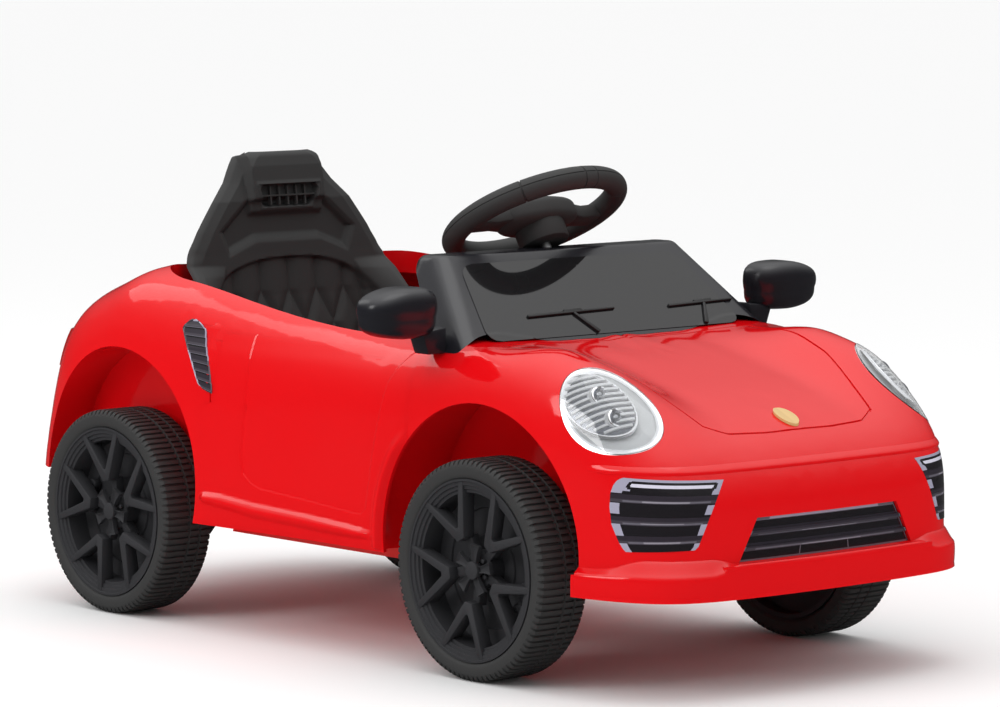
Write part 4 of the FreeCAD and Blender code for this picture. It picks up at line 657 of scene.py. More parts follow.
@dataclass
class BumperTrim:
    """The moulded edges round the nose: a crease over the fog panels and a lip with a sloping ledge."""

    hub: Vector
    reach: float = math.radians(68.5)
    steps: int = 161
    outside: float = 0.6
    usual: float = 0.22
    face_level: float = 200.0
    foot_level: float = 118.0
    wall: float = 0.8 * MM
    lip_rows: int = 10
    sunk: float = 0.4
    crease: tuple[tuple[float, float], ...] = (
        (-0.8, 241), (0.2, 239.5), (1.6, 236.6), (2.3, 234.6), (2.0, 233.0), (0.5, 231.2), (-0.8, 230))

    def ring_spot(self, skin: Skin, angle: float, out: float, z: float, level: float) -> Vector:
        """A point round the nose.

        Args:
            skin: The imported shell.
            angle: The way from the hub, 0 straight ahead.
            out: How far outside the shell.
            z: The point's height.
            level: The height at which the shell is met.

        Returns:
            The point.
        """
        way = Vector((math.cos(angle), math.sin(angle), 0))
        base = Vector((self.hub.x, 0, level * MM))
        met = skin.meet(base, -way, self.outside)
        spot = (met if met else base + way * self.usual) + way * out * MM
        return Vector((spot.x, spot.y, z * MM))

    def lip_spot(self, skin: Skin, angle: float, row: int) -> Vector:
        """A point of the lip.

        Args:
            skin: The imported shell.
            angle: The way from the hub, 0 straight ahead.
            row: The place along the profile, from the bumper's face down to the foot.

        Returns:
            The point.
        """
        y = abs(self.ring_spot(skin, angle, 0, self.foot_level, self.foot_level).y) / MM
        centre = 1 - ramp(128, 166, y)
        end = ramp(225, 246, y)
        top = 146 - 6.6 * centre - 12 * end
        edge = 130.5 + 8.2 * centre - 2 * end
        face = ((-3.0, top + 1.0), (1.4, top), (3.2, top - 1.6))
        foot = ((-2.4, edge + 1.7), (-0.3, edge + 0.4), (0.9, edge - 2.2), (1.0, 118), (0.4, 106),
                (-1.2, 103.4), (-6, 103.0))
        out, z = (face + foot)[row]
        return self.ring_spot(skin, angle, out, z, self.face_level if row < len(face) else self.foot_level)

    def build(self, nodes: dict[str, Piece]) -> None:
        """Lay the crease and the lip round the nose.

        Args:
            nodes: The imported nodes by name.
        """
        skin = Skin(nodes["body_shell"])
        angles = even(-self.reach, self.reach, self.steps)
        ahead = Vector((1, 0, 0.2))

        def bead(angle: float, row: float) -> Vector:
            """A point of the crease, which sinks into the shell at both ends.

            Args:
                angle: The angle round the nose.
                row: The corner of the crease's outline.

            Returns:
                The point.
            """
            out, z = self.crease[int(row)]
            fade = 1 - ramp(0.88, 1.0, abs(angle) / self.reach)
            return self.ring_spot(skin, angle, out * fade - self.sunk * (1 - fade), z, z)

        def lip(angle: float, row: float) -> Vector:
            """A point of the lip."""
            return self.lip_spot(skin, angle, int(row))

        strips = [Bench.lay(angles, list(range(len(self.crease))), bead, ahead),
                  Bench.lay(angles, list(range(self.lip_rows)), lip, ahead)]
        for strip in strips:
            Bench.modify(strip, "SOLIDIFY", thickness=self.wall, offset=-1.0)
            Bench.modify(strip, "SUBSURF", levels=1, render_levels=1)
        whole = Bench.paint(Bench.join(strips), Finishes.RED)
        Bench.finish(whole, "bumper_trim", "car", "red_body", [], 60)


@dataclass
class DoorFlank:
    """The side between the wheels: the door's sunk panel, the sill's rail and the front arch's flare.

    Its lengths are in mm, since it works on whole arrays of places at once.
    """

    side: Side
    lift: float = 1.3
    sunk: float = 1.1
    door_step: float = 1.6
    rail_out: float = 6.0
    rail_start: tuple[float, float] = (-184, -168)
    rail_stop: tuple[float, float] = (90, 119)
    flare_out: float = 5.0
    flare_roll: tuple[float, float] = (-2, 7)
    flare_fade: tuple[float, float] = (6, 20)
    flare_top: tuple[float, float] = (225, 262)
    foot: float = 119.5
    top: float = 334.0
    fender_x: float = 165.0
    arch_gap: float = 1.5
    edge_fade: float = 4.0
    edge_sunk: float = 0.3
    wall: float = 1.5
    columns: int = 160
    rows: int = 126
    least_y: float = 190.0
    net_x: tuple[float, float, float] = (-208, 193, 4)
    net_z: tuple[float, float, float] = (118.5, 351, 4)
    arch: tuple[float, float, float] = (275, 139, 150)
    rear: tuple[tuple[float, float], ...] = ((104, -186), (250, -186), (257, -164), (340, -164))
    rail: tuple[tuple[float, float, float], ...] = (
        (-184, 149, 5), (-174, 149, 7), (-144, 147.5, 9), (-90, 142.2, 9.8), (22, 137.4, 9.4), (79, 135.6, 8),
        (119, 134.6, 5))
    door: tuple[tuple[float, float], ...] = (
        (-108, 352), (-110, 325), (-110, 298), (-110.5, 253), (-113, 215), (-114, 198), (-109, 181),
        (-95, 171), (-80, 166.5), (-34, 163.3), (22, 159.2), (79, 155.6), (90, 156), (97, 162), (102.5, 190),
        (106.5, 217), (113.5, 248), (125.5, 298), (137, 316.5), (151, 333), (170, 352))

    def net(self, skin: Skin) -> np.ndarray:
        """Read how far out the side is.

        Args:
            skin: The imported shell.

        Returns:
            The distances in mm on a square net, with the narrow cut lines filled up.
        """
        hand = self.side.value
        columns, rows = np.arange(*self.net_x), np.arange(*self.net_z)
        found = np.full((len(rows), len(columns)), np.nan)
        for j, z in enumerate(rows):
            for i, x in enumerate(columns):
                met = skin.meet(Vector((x, hand * 300, z)) * MM, Vector((0, -hand, 0)))
                if met and abs(met.y) > self.least_y * MM:
                    found[j, i] = abs(met.y) / MM
            good = ~np.isnan(found[j])
            found[j] = np.interp(columns, columns[good], found[j][good])
        for pick in (np.max, np.min, np.mean, np.mean):
            padded = np.pad(found, 1, mode="edge")
            found = pick(np.lib.stride_tricks.sliding_window_view(padded, (3, 3)), axis=(2, 3))
        return found

    def level(self, net: np.ndarray, x: np.ndarray, z: np.ndarray) -> np.ndarray:
        """Read the net between its knots.

        Args:
            net: The net.
            x: The places along the car.
            z: Their heights.

        Returns:
            How far out the side is there.
        """
        across = np.clip((x - self.net_x[0]) / self.net_x[2], 0, net.shape[1] - 1.001)
        up = np.clip((z - self.net_z[0]) / self.net_z[2], 0, net.shape[0] - 1.001)
        i, j = across.astype(int), up.astype(int)
        s, t = across - i, up - j
        low = net[j, i] * (1 - s) + net[j, i + 1] * s
        high = net[j + 1, i] * (1 - s) + net[j + 1, i + 1] * s
        return low * (1 - t) + high * t

    @staticmethod
    def soft(low: float, high: float, value: np.ndarray) -> np.ndarray:
        """A smooth step from 0 at low to 1 at high, for many values."""
        share = np.clip((value - low) / (high - low), 0, 1)
        return share * share * (3 - 2 * share)

    def in_door(self, x: np.ndarray, z: np.ndarray) -> np.ndarray:
        """How far places are inside the door's line.

        Args:
            x: The places along the car.
            z: Their heights.

        Returns:
            The distances, below 0 outside.
        """
        near = np.full(x.shape, 99.0)
        inside = np.zeros(x.shape, bool)
        for (ax, az), (bx, bz) in zip(self.door, self.door[1:] + self.door[:1]):
            run, rise = bx - ax, bz - az
            share = np.clip(((x - ax) * run + (z - az) * rise) / (run ** 2 + rise ** 2), 0, 1)
            near = np.minimum(near, np.hypot(x - ax - share * run, z - az - share * rise))
            if rise:
                inside ^= ((az > z) != (bz > z)) & (x < ax + run * (z - az) / rise)
        return np.where(inside, near, -near)

    def relief(self, x: np.ndarray, z: np.ndarray) -> np.ndarray:
        """How far the panel stands off the shell.

        Args:
            x: The places along the car.
            z: Their heights.

        Returns:
            The distances.
        """
        place, middle, half = np.array(self.rail).T
        off = np.clip(np.abs(z - np.interp(x, place, middle)) / np.interp(x, place, half), 0, 1)
        rail = (1 - off * off) ** 1.5 * self.soft(*self.rail_start, x) * (1 - self.soft(*self.rail_stop, x))
        gap = np.hypot(x - self.arch[0], z - self.arch[1]) - self.arch[2]
        flare = (1 - self.soft(*self.flare_fade, gap)) * self.soft(*self.flare_roll, gap)
        flare = flare * (1 - self.soft(*self.flare_top, z))
        panel = self.sunk * (1 - self.soft(-self.door_step, self.door_step, self.in_door(x, z)))
        return self.lift + panel + self.rail_out * rail + self.flare_out * flare

    def rear_end(self, z: np.ndarray) -> np.ndarray:
        """Where the panel ends behind, at a height."""
        return np.interp(z, *np.array(self.rear).T)

    def fore_end(self, z: np.ndarray) -> np.ndarray:
        """Where the panel ends ahead.

        Args:
            z: The heights.

        Returns:
            The places along the front arch, or on the fender above it.
        """
        x, up, radius = self.arch
        edge = x - np.sqrt(np.maximum(0, radius ** 2 - (z - up) ** 2))
        return np.minimum(self.fender_x, edge - self.arch_gap)

    def looks(self, net: np.ndarray, x: np.ndarray, z: np.ndarray) -> np.ndarray:
        """The ways that the panel faces, as if its edges didn't run under the shell.

        Args:
            net: How far out the side is.
            x: The places along the car.
            z: Their heights.

        Returns:
            A unit vector for each place.
        """
        wide, fine = self.net_x[2], 0.5
        lean = (self.level(net, x + wide, z) - self.level(net, x - wide, z)) / (2 * wide)
        rise = (self.level(net, x, z + wide) - self.level(net, x, z - wide)) / (2 * wide)
        lean += (self.relief(x + fine, z) - self.relief(x - fine, z)) / (2 * fine)
        rise += (self.relief(x, z + fine) - self.relief(x, z - fine)) / (2 * fine)
        ways = np.stack([-lean, np.full(x.shape, float(self.side.value)), -rise], axis=1)
        return ways / np.linalg.norm(ways, axis=1, keepdims=True)

    def build(self, nodes: dict[str, Piece]) -> None:
        """Lay the panel over the side.

        Args:
            nodes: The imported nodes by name.
        """
        hand = self.side.value
        net = self.net(Skin(nodes["body_shell"]))

        def flat(share: float, z: float) -> Vector:
            """A place between the panel's ends, in the car's middle plane."""
            behind, ahead = float(self.rear_end(z)), float(self.fore_end(z))
            return Vector((behind + (ahead - behind) * share, 0, z)) * MM

        heights = even(self.foot, self.top, self.rows)
        sheet = Bench.lay(even(0, 1, self.columns), heights, flat, Vector((0, hand, 0)))
        x, _, z = np.array([vertex.co for vertex in sheet.data.vertices]).T / MM
        margin = np.minimum.reduce([x - self.rear_end(z), self.fore_end(z) - x, z - self.foot, self.top - z])
        shown = self.soft(0, self.edge_fade, margin)
        out = self.level(net, x, z) + self.relief(x, z) * shown - self.edge_sunk * (1 - shown)
        sheet.data.vertices.foreach_set("co", (np.stack([x, hand * out, z], axis=1) * MM).ravel())
        Bench.modify(sheet, "SOLIDIFY", thickness=self.wall * MM, offset=-1.0)
        Bench.paint(sheet, Finishes.RED)
        Bench.finish(sheet, f"door_flank_{self.side.label}", "car", "red_body", [], 60)
        mesh = sheet.data
        shades = np.array([corner.vector for corner in mesh.corner_normals])
        spots = np.array([mesh.vertices[loop.vertex_index].co for loop in mesh.loops]) / MM
        outer = np.array([face.normal.y * hand > 0.2 for face in mesh.polygons for _ in face.loop_indices])
        shades[outer] = self.looks(net, spots[outer, 0], spots[outer, 2])
        mesh.normals_split_custom_set(shades.tolist())


# Headlamps


@dataclass
class Headlamp:
    """One headlamp: a bezel, a white bowl, an inner oval with two projectors and fins, and a clear lens."""

    side: Side
    centre: Vector
    lean: float = math.radians(48)
    turn: float = math.radians(24)
    roll: float = math.radians(25)
    long: float = 128 * MM
    wide: float = 84 * MM
    rounds: int = 96
    edge_share: float = 0.985
    lens_wall: float = 1.6 * MM
    inner_middle: tuple[float, float] = (12 * MM, 6 * MM)
    inner_half: tuple[float, float] = (47 * MM, 27 * MM)
    tray_depth: float = 5.2 * MM
    fin_pitch: float = 7.2 * MM
    fin_thick: float = 3.0 * MM
    fin_depths: tuple[float, float] = (5.6 * MM, 3.0 * MM)
    fin_share: float = 0.95
    fins_each_way: int = 5
    wall: float = 0.8 * MM
    projectors: tuple[tuple[float, float], ...] = ((20 * MM, 0.0), (-13 * MM, 5 * MM))
    projector_depth: float = 5.4 * MM
    glass_radius: float = 6.6 * MM
    glass_sunk: float = 1.8 * MM
    barrels: tuple[tuple[Finish, float, float, float, float], ...] = (
        (Finishes.WHITE, 11.5, 26, 26, 2.0), (Finishes.SILVER, 10.4, 2.4, 0.6, 0.9),
        (Finishes.SMOKE, 8.6, 2.4, 0.2, 0.4))

    def axes(self) -> tuple[Vector, Vector, Vector]:
        """The lamp's own ways.

        Returns:
            The way that it looks, its long way up the fender, and its short way outwards.
        """
        hand = self.side.value
        flat = math.cos(self.lean)
        look = Vector((flat * math.cos(self.turn), hand * flat * math.sin(self.turn), math.sin(self.lean)))
        aside = Vector((-math.sin(self.turn), hand * math.cos(self.turn), 0))
        upward = (look.cross(aside) * hand).normalized()
        cos, sin = math.cos(self.roll), math.sin(self.roll)
        return look, upward * cos + aside * sin, aside * cos - upward * sin

    def spot(self, skin: Skin, up_by: float, aside_by: float, depth: float) -> Vector:
        """A point under the lens.

        Args:
            skin: The lens surface.
            up_by: The distance along the oval's long way.
            aside_by: The distance along its short way, outwards.
            depth: How deep under the lens surface.

        Returns:
            The point.
        """
        look, up, aside = self.axes()
        reach = math.hypot(up_by / (self.long / 2), aside_by / (self.wide / 2))
        pull = min(1.0, self.edge_share / reach) if reach else 1.0
        flat = self.centre + up * up_by * pull + aside * aside_by * pull
        return skin.onto(flat, -look, 0.12) - look * depth

    def dish(self, skin: Skin, shares: Sequence[float], depth: Callable[[float], float],
             inner: bool = False) -> Piece:
        """A round sheet of the lamp.

        Args:
            skin: The lens surface.
            shares: The shares of the oval that the sheet's rings lie at.
            depth: Gives a ring's depth under the lens.
            inner: Whether the oval is the inner one, which holds the projectors.

        Returns:
            The sheet.
        """
        middle = self.inner_middle if inner else (0.0, 0.0)
        half = self.inner_half if inner else (self.long / 2, self.wide / 2)

        def place(angle: float, share: float) -> Vector:
            """A point of a ring.

            Args:
                angle: The angle round the oval.
                share: The ring's share.

            Returns:
                The point.
            """
            up_by = middle[0] + math.cos(angle) * share * half[0]
            aside_by = middle[1] + math.sin(angle) * share * half[1]
            return self.spot(skin, up_by, aside_by, depth(share))

        return Bench.lay(even(0, math.tau, self.rounds + 1), shares, place, self.axes()[0])

    def projector(self, skin: Skin, up_by: float, aside_by: float) -> list[Piece]:
        """A round lamp that points ahead.

        Args:
            skin: The lens surface.
            up_by: Its distance along the oval's long way.
            aside_by: Its distance along the oval's short way.

        Returns:
            A white barrel, a bright ring, a dark cup and a domed glass.
        """
        ahead = (self.axes()[0] * 0.8 + Vector((0.45, 0, 0))).normalized()
        face = self.spot(skin, up_by, aside_by, self.projector_depth)
        made = []
        for finish, radius, depth, back, edge in self.barrels:
            barrel = Bench.knob(radius * MM, depth * MM, face - ahead * back * MM, ahead, edge * MM)
            made.append(Bench.paint(barrel, finish))
        Bench.clear()
        bpy.ops.mesh.primitive_uv_sphere_add(segments=28, ring_count=14, radius=self.glass_radius)
        dome = bpy.context.object
        Bench.settle(dome, Matrix.Translation(face - ahead * self.glass_sunk))
        return [*made, Bench.paint(dome, Finishes.LAMP_GLASS)]

    def fins(self, skin: Skin) -> list[Piece]:
        """Level fins across the inner oval.

        Args:
            skin: The lens surface.

        Returns:
            The fins, with dark gaps between.
        """
        look, up, aside = self.axes()
        cos, sin = math.cos(self.roll), math.sin(self.roll)
        rise = up * cos - aside * sin
        deep, shallow = self.fin_depths
        profile = ((0.0, deep), (0.0, shallow), (self.fin_thick, shallow), (self.fin_thick, deep))

        def fin(middle: float) -> Piece:
            """One fin at a height over the oval's middle."""
            def place(along_by: float, row: float) -> Vector:
                """A point of the fin.

                Args:
                    along_by: The distance from the fin's middle.
                    row: The corner of its profile.

                Returns:
                    The point.
                """
                over, depth = profile[int(row)]
                up_by = self.inner_middle[0] + middle * cos + along_by * sin
                aside_by = self.inner_middle[1] - middle * sin + along_by * cos
                return self.spot(skin, up_by, aside_by, depth) + rise * over

            return Bench.lay(even(*self.chord(middle, self.fin_share), 15), (0, 1, 2, 3), place, look)

        steps = range(-self.fins_each_way, self.fins_each_way + 1)
        return [Bench.paint(fin(step * self.fin_pitch), Finishes.WHITE) for step in steps]

    def chord(self, middle: float, share: float) -> tuple[float, float]:
        """Where a level line across the inner oval starts and ends.

        Args:
            middle: The line's height over the oval's middle.
            share: The share of the oval's size that the line stays in.

        Returns:
            The places of its ends along the line.
        """
        cos, sin = math.cos(self.roll), math.sin(self.roll)
        long, wide = (half * share for half in self.inner_half)
        square = (sin / long) ** 2 + (cos / wide) ** 2
        cross = middle * sin * cos * (1 / long ** 2 - 1 / wide ** 2)
        rest = (middle * cos / long) ** 2 + (middle * sin / wide) ** 2 - 1
        root = math.sqrt(max(0.0, cross * cross - square * rest))
        return (-cross - root) / square, (-cross + root) / square

    def build(self, nodes: dict[str, Piece]) -> None:
        """Model and dress the lamp.

        Args:
            nodes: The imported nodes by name.
        """
        label = self.side.label
        skin = Skin(nodes[f"headlamp_lens_{label}"])

        def bezel_depth(share: float) -> float:
            """The bezel's rounded fall inwards."""
            return (2.2 + 3.0 * ((1.0 - share) / 0.14) ** 2) * MM

        def bowl_depth(share: float) -> float:
            """The bowl's flat-bottomed dip."""
            return (5.4 + 6.0 * (1 - (share / 0.875) ** 4)) * MM

        def collar_depth(share: float) -> float:
            """The collar's round back."""
            return (2.8 + 2.6 * ((share - 1.0) / 0.05) ** 2) * MM

        bezel = self.dish(skin, even(0.86, 1.0, 9), bezel_depth)
        bowl = self.dish(skin, even(0.0, 0.875, 16), bowl_depth)
        collar = self.dish(skin, even(0.95, 1.05, 7), collar_depth, True)
        tray = self.dish(skin, even(0.0, 0.98, 8), lambda _: self.tray_depth, True)
        parts = [Bench.paint(bezel, Finishes.SILVER), Bench.paint(bowl, Finishes.FROST),
                 Bench.paint(collar, Finishes.SILVER), Bench.paint(tray, Finishes.SMOKE)]
        for part in parts:
            Bench.modify(part, "SOLIDIFY", thickness=self.wall, offset=-1.0)
        for up_by, aside_by in self.projectors:
            parts += self.projector(skin, up_by, aside_by)
        parts += self.fins(skin)
        Bench.finish(Bench.join(parts), f"headlamp_inside_{label}", "car", "lamp_white",
                     ["headlamp_bulbs"] if self.side is Side.LEFT else [])
        lens = self.dish(skin, even(0.0, 1.0, 18), lambda _: 0.0)
        Bench.modify(lens, "SOLIDIFY", thickness=self.lens_wall, offset=-1.0)
        Bench.paint(lens, Finishes.CLEAR)
        Bench.finish(lens, f"headlamp_glass_{label}", "car", "lamp_lens", [f"headlamp_lens_{label}"], 40)


# Printed panels


@dataclass(frozen=True)
class Field:
    """One printed field: a span across and a span down, both in shares of its sheet, and its ink."""

    across: tuple[float, float]
    down: tuple[float, float]
    ink: Finish

    def holds(self, across: float, down: float) -> bool:
        """Whether a place lies in the field."""
        return self.across[0] <= across < self.across[1] and self.down[0] <= down < self.down[1]


@dataclass
class InkedSheet:
    """A thin printed sheet that follows the surface of a panel, with one ink for each of its small cells."""

    name: str
    nodes: tuple[str, ...]
    place: Callable[[float, float], Vector]
    facing: Vector
    ground: Finish
    fields: Sequence[Field]
    columns: int = 120
    rows: int = 88
    wall: float = 0.5 * MM

    def build(self) -> None:
        """Lay the sheet and ink its cells, a later field over an earlier one."""
        across, down = even(0, 1, self.columns + 1), even(0, 1, self.rows + 1)
        sheet = Bench.lay(across, down, lambda s, t: Vector((s, t, 0)))
        inks = list(dict.fromkeys([self.ground, *(field.ink for field in self.fields)]))
        for ink in inks:
            sheet.data.materials.append(ink.material())
        for face in sheet.data.polygons:
            here = [field.ink for field in self.fields if field.holds(face.center.x, face.center.y)]
            face.material_index = inks.index(here[-1]) if here else 0
        for vertex in sheet.data.vertices:
            vertex.co = self.place(vertex.co.x, vertex.co.y)
        sheet.data.update()
        Bench.face(sheet, self.facing)
        Bench.modify(sheet, "SOLIDIFY", thickness=self.wall, offset=-1.0)
        Bench.finish(sheet, self.name, "car", "sticker_dark", self.nodes, 40)


@dataclass
class FogPanel:
    """The printed fog lamp panel, which wraps round the bumper's corner."""

    side: Side
    lift: float = 0.5 * MM
    outer: tuple[tuple[float, float], ...] = (
        (0, 146), (0.02, 142), (0.05, 139), (0.11, 135.7), (0.22, 132.8), (0.41, 132.1), (0.64, 134),
        (0.86, 140.8), (0.96, 145.5), (1, 148.5))
    inner: tuple[tuple[float, float], ...] = (
        (0, 247.5), (0.3, 239.6), (0.63, 230.4), (0.95, 221.5), (1, 218))
    top: tuple[float, float] = (228.7, -3.5)
    low: tuple[float, float] = (153.8, 2.6)

    def fields(self) -> list[Field]:
        """The printed fields, from the wheel side across and from the top down.

        Returns:
            The fields, a later one over an earlier one.
        """
        inks = Finishes
        made = []
        for line in (0.305, 0.605, 0.87):
            made.append(Field((0, 1), (line - 0.085, line), inks.PRINT_DARK))
            made.append(Field((0, 1), (line - 0.02, line + 0.03), inks.PRINT_SHADE))
            made.append(Field((0.12, 0.95), (line - 0.008, line + 0.018), inks.PRINT_MIST))
            made.append(Field((0.30, 0.75), (line - 0.004, line + 0.012), inks.PRINT_GLINT))
        for across, down in (((0, 0.17), (0, 0.17)), ((0, 1), (0, 0.035)), ((0.93, 1), (0, 0.21)),
                             ((0, 0.10), (0.15, 0.20))):
            made.append(Field(across, down, inks.PRINT_LILAC))
        for top, low in ((0.34, 0.49), (0.62, 0.78), (0.89, 1.0)):
            made.append(Field((0, 0.095), (top, low), inks.PRINT_LILAC))
            made.append(Field((0.93, 1), (top + 0.01, low), inks.PRINT_LILAC))
        made.append(Field((0.13, 0.945), (0.035, 0.145), inks.PRINT_BLACK))
        made.append(Field((0.12, 0.955), (0.05, 0.13), inks.PRINT_BLACK))
        made.append(Field((0.155, 0.915), (0.063, 0.115), inks.PRINT_WHITE))
        made.append(Field((0.148, 0.922), (0.072, 0.105), inks.PRINT_WHITE))
        return made

    def build(self, nodes: dict[str, Piece]) -> None:
        """Lay the panel on the bumper.

        Args:
            nodes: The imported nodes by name.
        """
        hand = self.side.value
        skin = Skin(nodes["body_shell"])
        way = Vector((-0.75, -hand * 0.66, 0)).normalized()
        across = Vector((0.66, -hand * 0.75, 0)).normalized()

        def place(s: float, t: float) -> Vector:
            """A point of the panel.

            Args:
                s: The share of the way across.
                t: The share of the way down.

            Returns:
                The point.
            """
            u = along(self.outer, t) + (along(self.inner, t) - along(self.outer, t)) * s
            z = (self.top[0] + self.top[1] * s) * (1 - t) + (self.low[0] + self.low[1] * s) * t
            spot = across * u * MM + Vector((0, 0, z * MM))
            return skin.onto(spot, way, 1.5) - way * self.lift

        InkedSheet(f"fog_print_{self.side.label}", (f"fog_panel_{self.side.label}",), place, -way,
                   Finishes.PRINT_BLACK, self.fields()).build()


@dataclass
class GrillePanel:
    """The printed lower grille in its window."""

    lift: float = 0.4 * MM
    top_half: float = 100 * MM
    low_half: float = 125 * MM
    top: float = 183.2 * MM
    low: float = 138.8 * MM

    def fields(self) -> list[Field]:
        """The printed fields, from left to right and from the top down.

        Returns:
            The fields, a later one over an earlier one.
        """
        inks = Finishes
        made = []
        for line in (0.38, 0.71):
            made.append(Field((0, 1), (line - 0.14, line), inks.PRINT_DARK))
            made.append(Field((0.01, 0.99), (line - 0.05, line + 0.04), inks.PRINT_SHADE))
            made.append(Field((0.08, 0.94), (line - 0.02, line + 0.02), inks.PRINT_MIST))
            made.append(Field((0.30, 0.66), (line - 0.012, line + 0.012), inks.PRINT_GLINT))
        for middle in (0.37, 0.66):
            made.append(Field((middle - 0.004, middle + 0.004), (0.73, 1), inks.PRINT_MIST))
        made += [Field((0, 1), (0, 0.07), inks.PRINT_MIST), Field((0.12, 0.90), (0, 0.05), inks.PRINT_LILAC)]
        made += [Field((0, 1), (0.94, 1), inks.PRINT_MIST), Field((0, 0.008), (0, 1), inks.PRINT_MIST)]
        made.append(Field((0.992, 1), (0, 1), inks.PRINT_MIST))
        return made

    def build(self, nodes: dict[str, Piece]) -> None:
        """Lay the sheet on the grille.

        Args:
            nodes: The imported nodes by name.
        """
        skin = Skin(nodes["lower_grille"])
        back = Vector((-1, 0, 0))

        def place(s: float, t: float) -> Vector:
            """A point of the sheet.

            Args:
                s: The share of the way across.
                t: The share of the way down.

            Returns:
                The point.
            """
            half = self.top_half + (self.low_half - self.top_half) * t
            spot = Vector((0.5, half * (1 - 2 * s), self.top + (self.low - self.top) * t))
            return skin.onto(spot, back, 0.3) - back * self.lift

        InkedSheet("lower_grille_print", (), place, -back, Finishes.PRINT_BLACK, self.fields(),
                   columns=160, rows=60).build()


@dataclass
class SideVent:
    """The leaf-shaped vent behind the door: eight slanted louvres in a bright edge, on a smooth surround."""

    side: Side
    lift: float = 0.8 * MM
    louvres: int = 8
    louvre_depth: float = 1.2 * MM
    top: float = 342.5
    drop: float = 78.5
    rear_rise: float = 5.0
    rear: tuple[tuple[float, float], ...] = (
        (0, -217), (0.03, -222.5), (0.06, -226), (0.10, -228.5), (0.14, -229.5), (0.25, -224.5), (0.4, -217),
        (0.62, -206.5), (0.8, -198.5), (0.93, -192.5), (1, -184))
    fore: tuple[tuple[float, float], ...] = (
        (0, -214), (0.04, -205), (0.08, -197.5), (0.12, -193), (0.16, -191), (0.34, -185.5), (0.5, -180),
        (0.7, -174.3), (0.95, -168.5), (1, -169.5))
    flank_x: tuple[float, float] = (-240 * MM, -156 * MM)
    levels: tuple[float, ...] = (0.250, 0.266, 0.282, 0.298, 0.312, 0.336, 0.350)
    cover_x: tuple[float, float] = (-238 * MM, -158 * MM)
    cover_z: tuple[float, float] = (249 * MM, 348 * MM)
    cover_rim: float = 2 * MM
    cover_fade: tuple[float, float] = (12 * MM, 6 * MM)
    cover_edge: float = 1.2 * MM
    cover_wall: float = 1.0 * MM
    ridge_x: float = -178 * MM
    ridge_half: float = 11 * MM
    ridge_out: float = 0.9 * MM

    def fields(self) -> list[Field]:
        """The printed fields, from the rear across and from the top down.

        Returns:
            The fields, a later one over an earlier one.
        """
        inks = Finishes
        made = []
        for k in range(self.louvres):
            low = (k + 0.93) / self.louvres
            made.append(Field((0, 1), (low - 0.045, low), inks.PRINT_SHADE))
            made.append(Field((0, 1), (low - 0.016, low), inks.PRINT_MIST))
            made.append(Field((0, 1), (low - 0.006, low + 0.016), inks.PRINT_BLACK))
        made.append(Field((0.95, 1), (0.03, 0.55), inks.PRINT_LILAC))
        made.append(Field((0.95, 1), (0.55, 1), inks.PRINT_MIST))
        made.append(Field((0, 0.04), (0.45, 0.97), inks.PRINT_LILAC))
        made.append(Field((0, 0.04), (0, 0.45), inks.PRINT_SHADE))
        made.append(Field((0.3, 1), (0, 0.025), inks.PRINT_LILAC))
        return made

    def build(self, nodes: dict[str, Piece]) -> None:
        """Lay the vent over its window.

        Args:
            nodes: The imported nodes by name.
        """
        hand = self.side.value
        skin = Skin(nodes["body_shell"])
        inward = Vector((0, -hand, 0))

        def flank(x: float) -> list[tuple[float, float]]:
            """How far out the shell is at each level."""
            met = [skin.meet(Vector((x, hand * 0.25, z)), inward, 0.2) for z in self.levels]
            return [(z, abs(spot.y)) for z, spot in zip(self.levels, met) if spot]

        rear_x, fore_x = self.flank_x
        rear_flank, fore_flank = flank(rear_x), flank(fore_x)

        def skin_y(x: float, z: float) -> float:
            """How far out the shell would be without the vent's window."""
            behind, ahead = along(rear_flank, z), along(fore_flank, z)
            return behind + (ahead - behind) * (x - rear_x) / (fore_x - rear_x)

        def place(s: float, t: float) -> Vector:
            """A point of the louvres.

            Args:
                s: The share of the way across.
                t: The share of the way down.

            Returns:
                The point.
            """
            rear, fore = along(self.rear, t), along(self.fore, t)
            x = (rear + (fore - rear) * s) * MM
            z = (self.top - self.drop * t + self.rear_rise * (1 - s) * t) * MM
            inside = clip(s / 0.05) * clip((1 - s) / 0.07) * clip(t / 0.03) * clip((1 - t) / 0.03)
            saw = (t * self.louvres + 0.07) % 1.0
            out = self.lift + self.louvre_depth * (1 - inside * (1 - saw))
            return Vector((x, hand * (skin_y(x, z) + out), z))

        def cover(x: float, z: float) -> Vector:
            """A point of the surround, sunk at its edges and with a low ridge ahead of the vent.

            Args:
                x: The place along the car.
                z: The height.

            Returns:
                The point.
            """
            rim, (wide, fine) = self.cover_rim, self.cover_fade
            inside = min(clip((x - self.cover_x[0] - rim) / wide), clip((self.cover_x[1] - rim - x) / fine),
                         clip((z - self.cover_z[0] - rim) / fine), clip((self.cover_z[1] - rim - z) / fine))
            ridge = self.ridge_out * clip(1 - ((x - self.ridge_x) / self.ridge_half) ** 2) ** 2
            return Vector((x, hand * (skin_y(x, z) - self.cover_edge * (1 - inside) + ridge * inside), z))

        patch = Bench.lay(even(*self.cover_x, 41), even(*self.cover_z, 50), cover, -inward)
        Bench.modify(patch, "SOLIDIFY", thickness=self.cover_wall, offset=-1.0)
        Bench.paint(patch, Finishes.RED)
        Bench.finish(patch, f"side_vent_surround_{self.side.label}", "car", "red_body", [], 40)
        InkedSheet(f"side_vent_print_{self.side.label}", (f"side_vent_{self.side.label}",), place, -inward,
                   Finishes.PRINT_DARK, self.fields(), columns=40, rows=128, wall=1.2 * MM).build()


# Windscreen


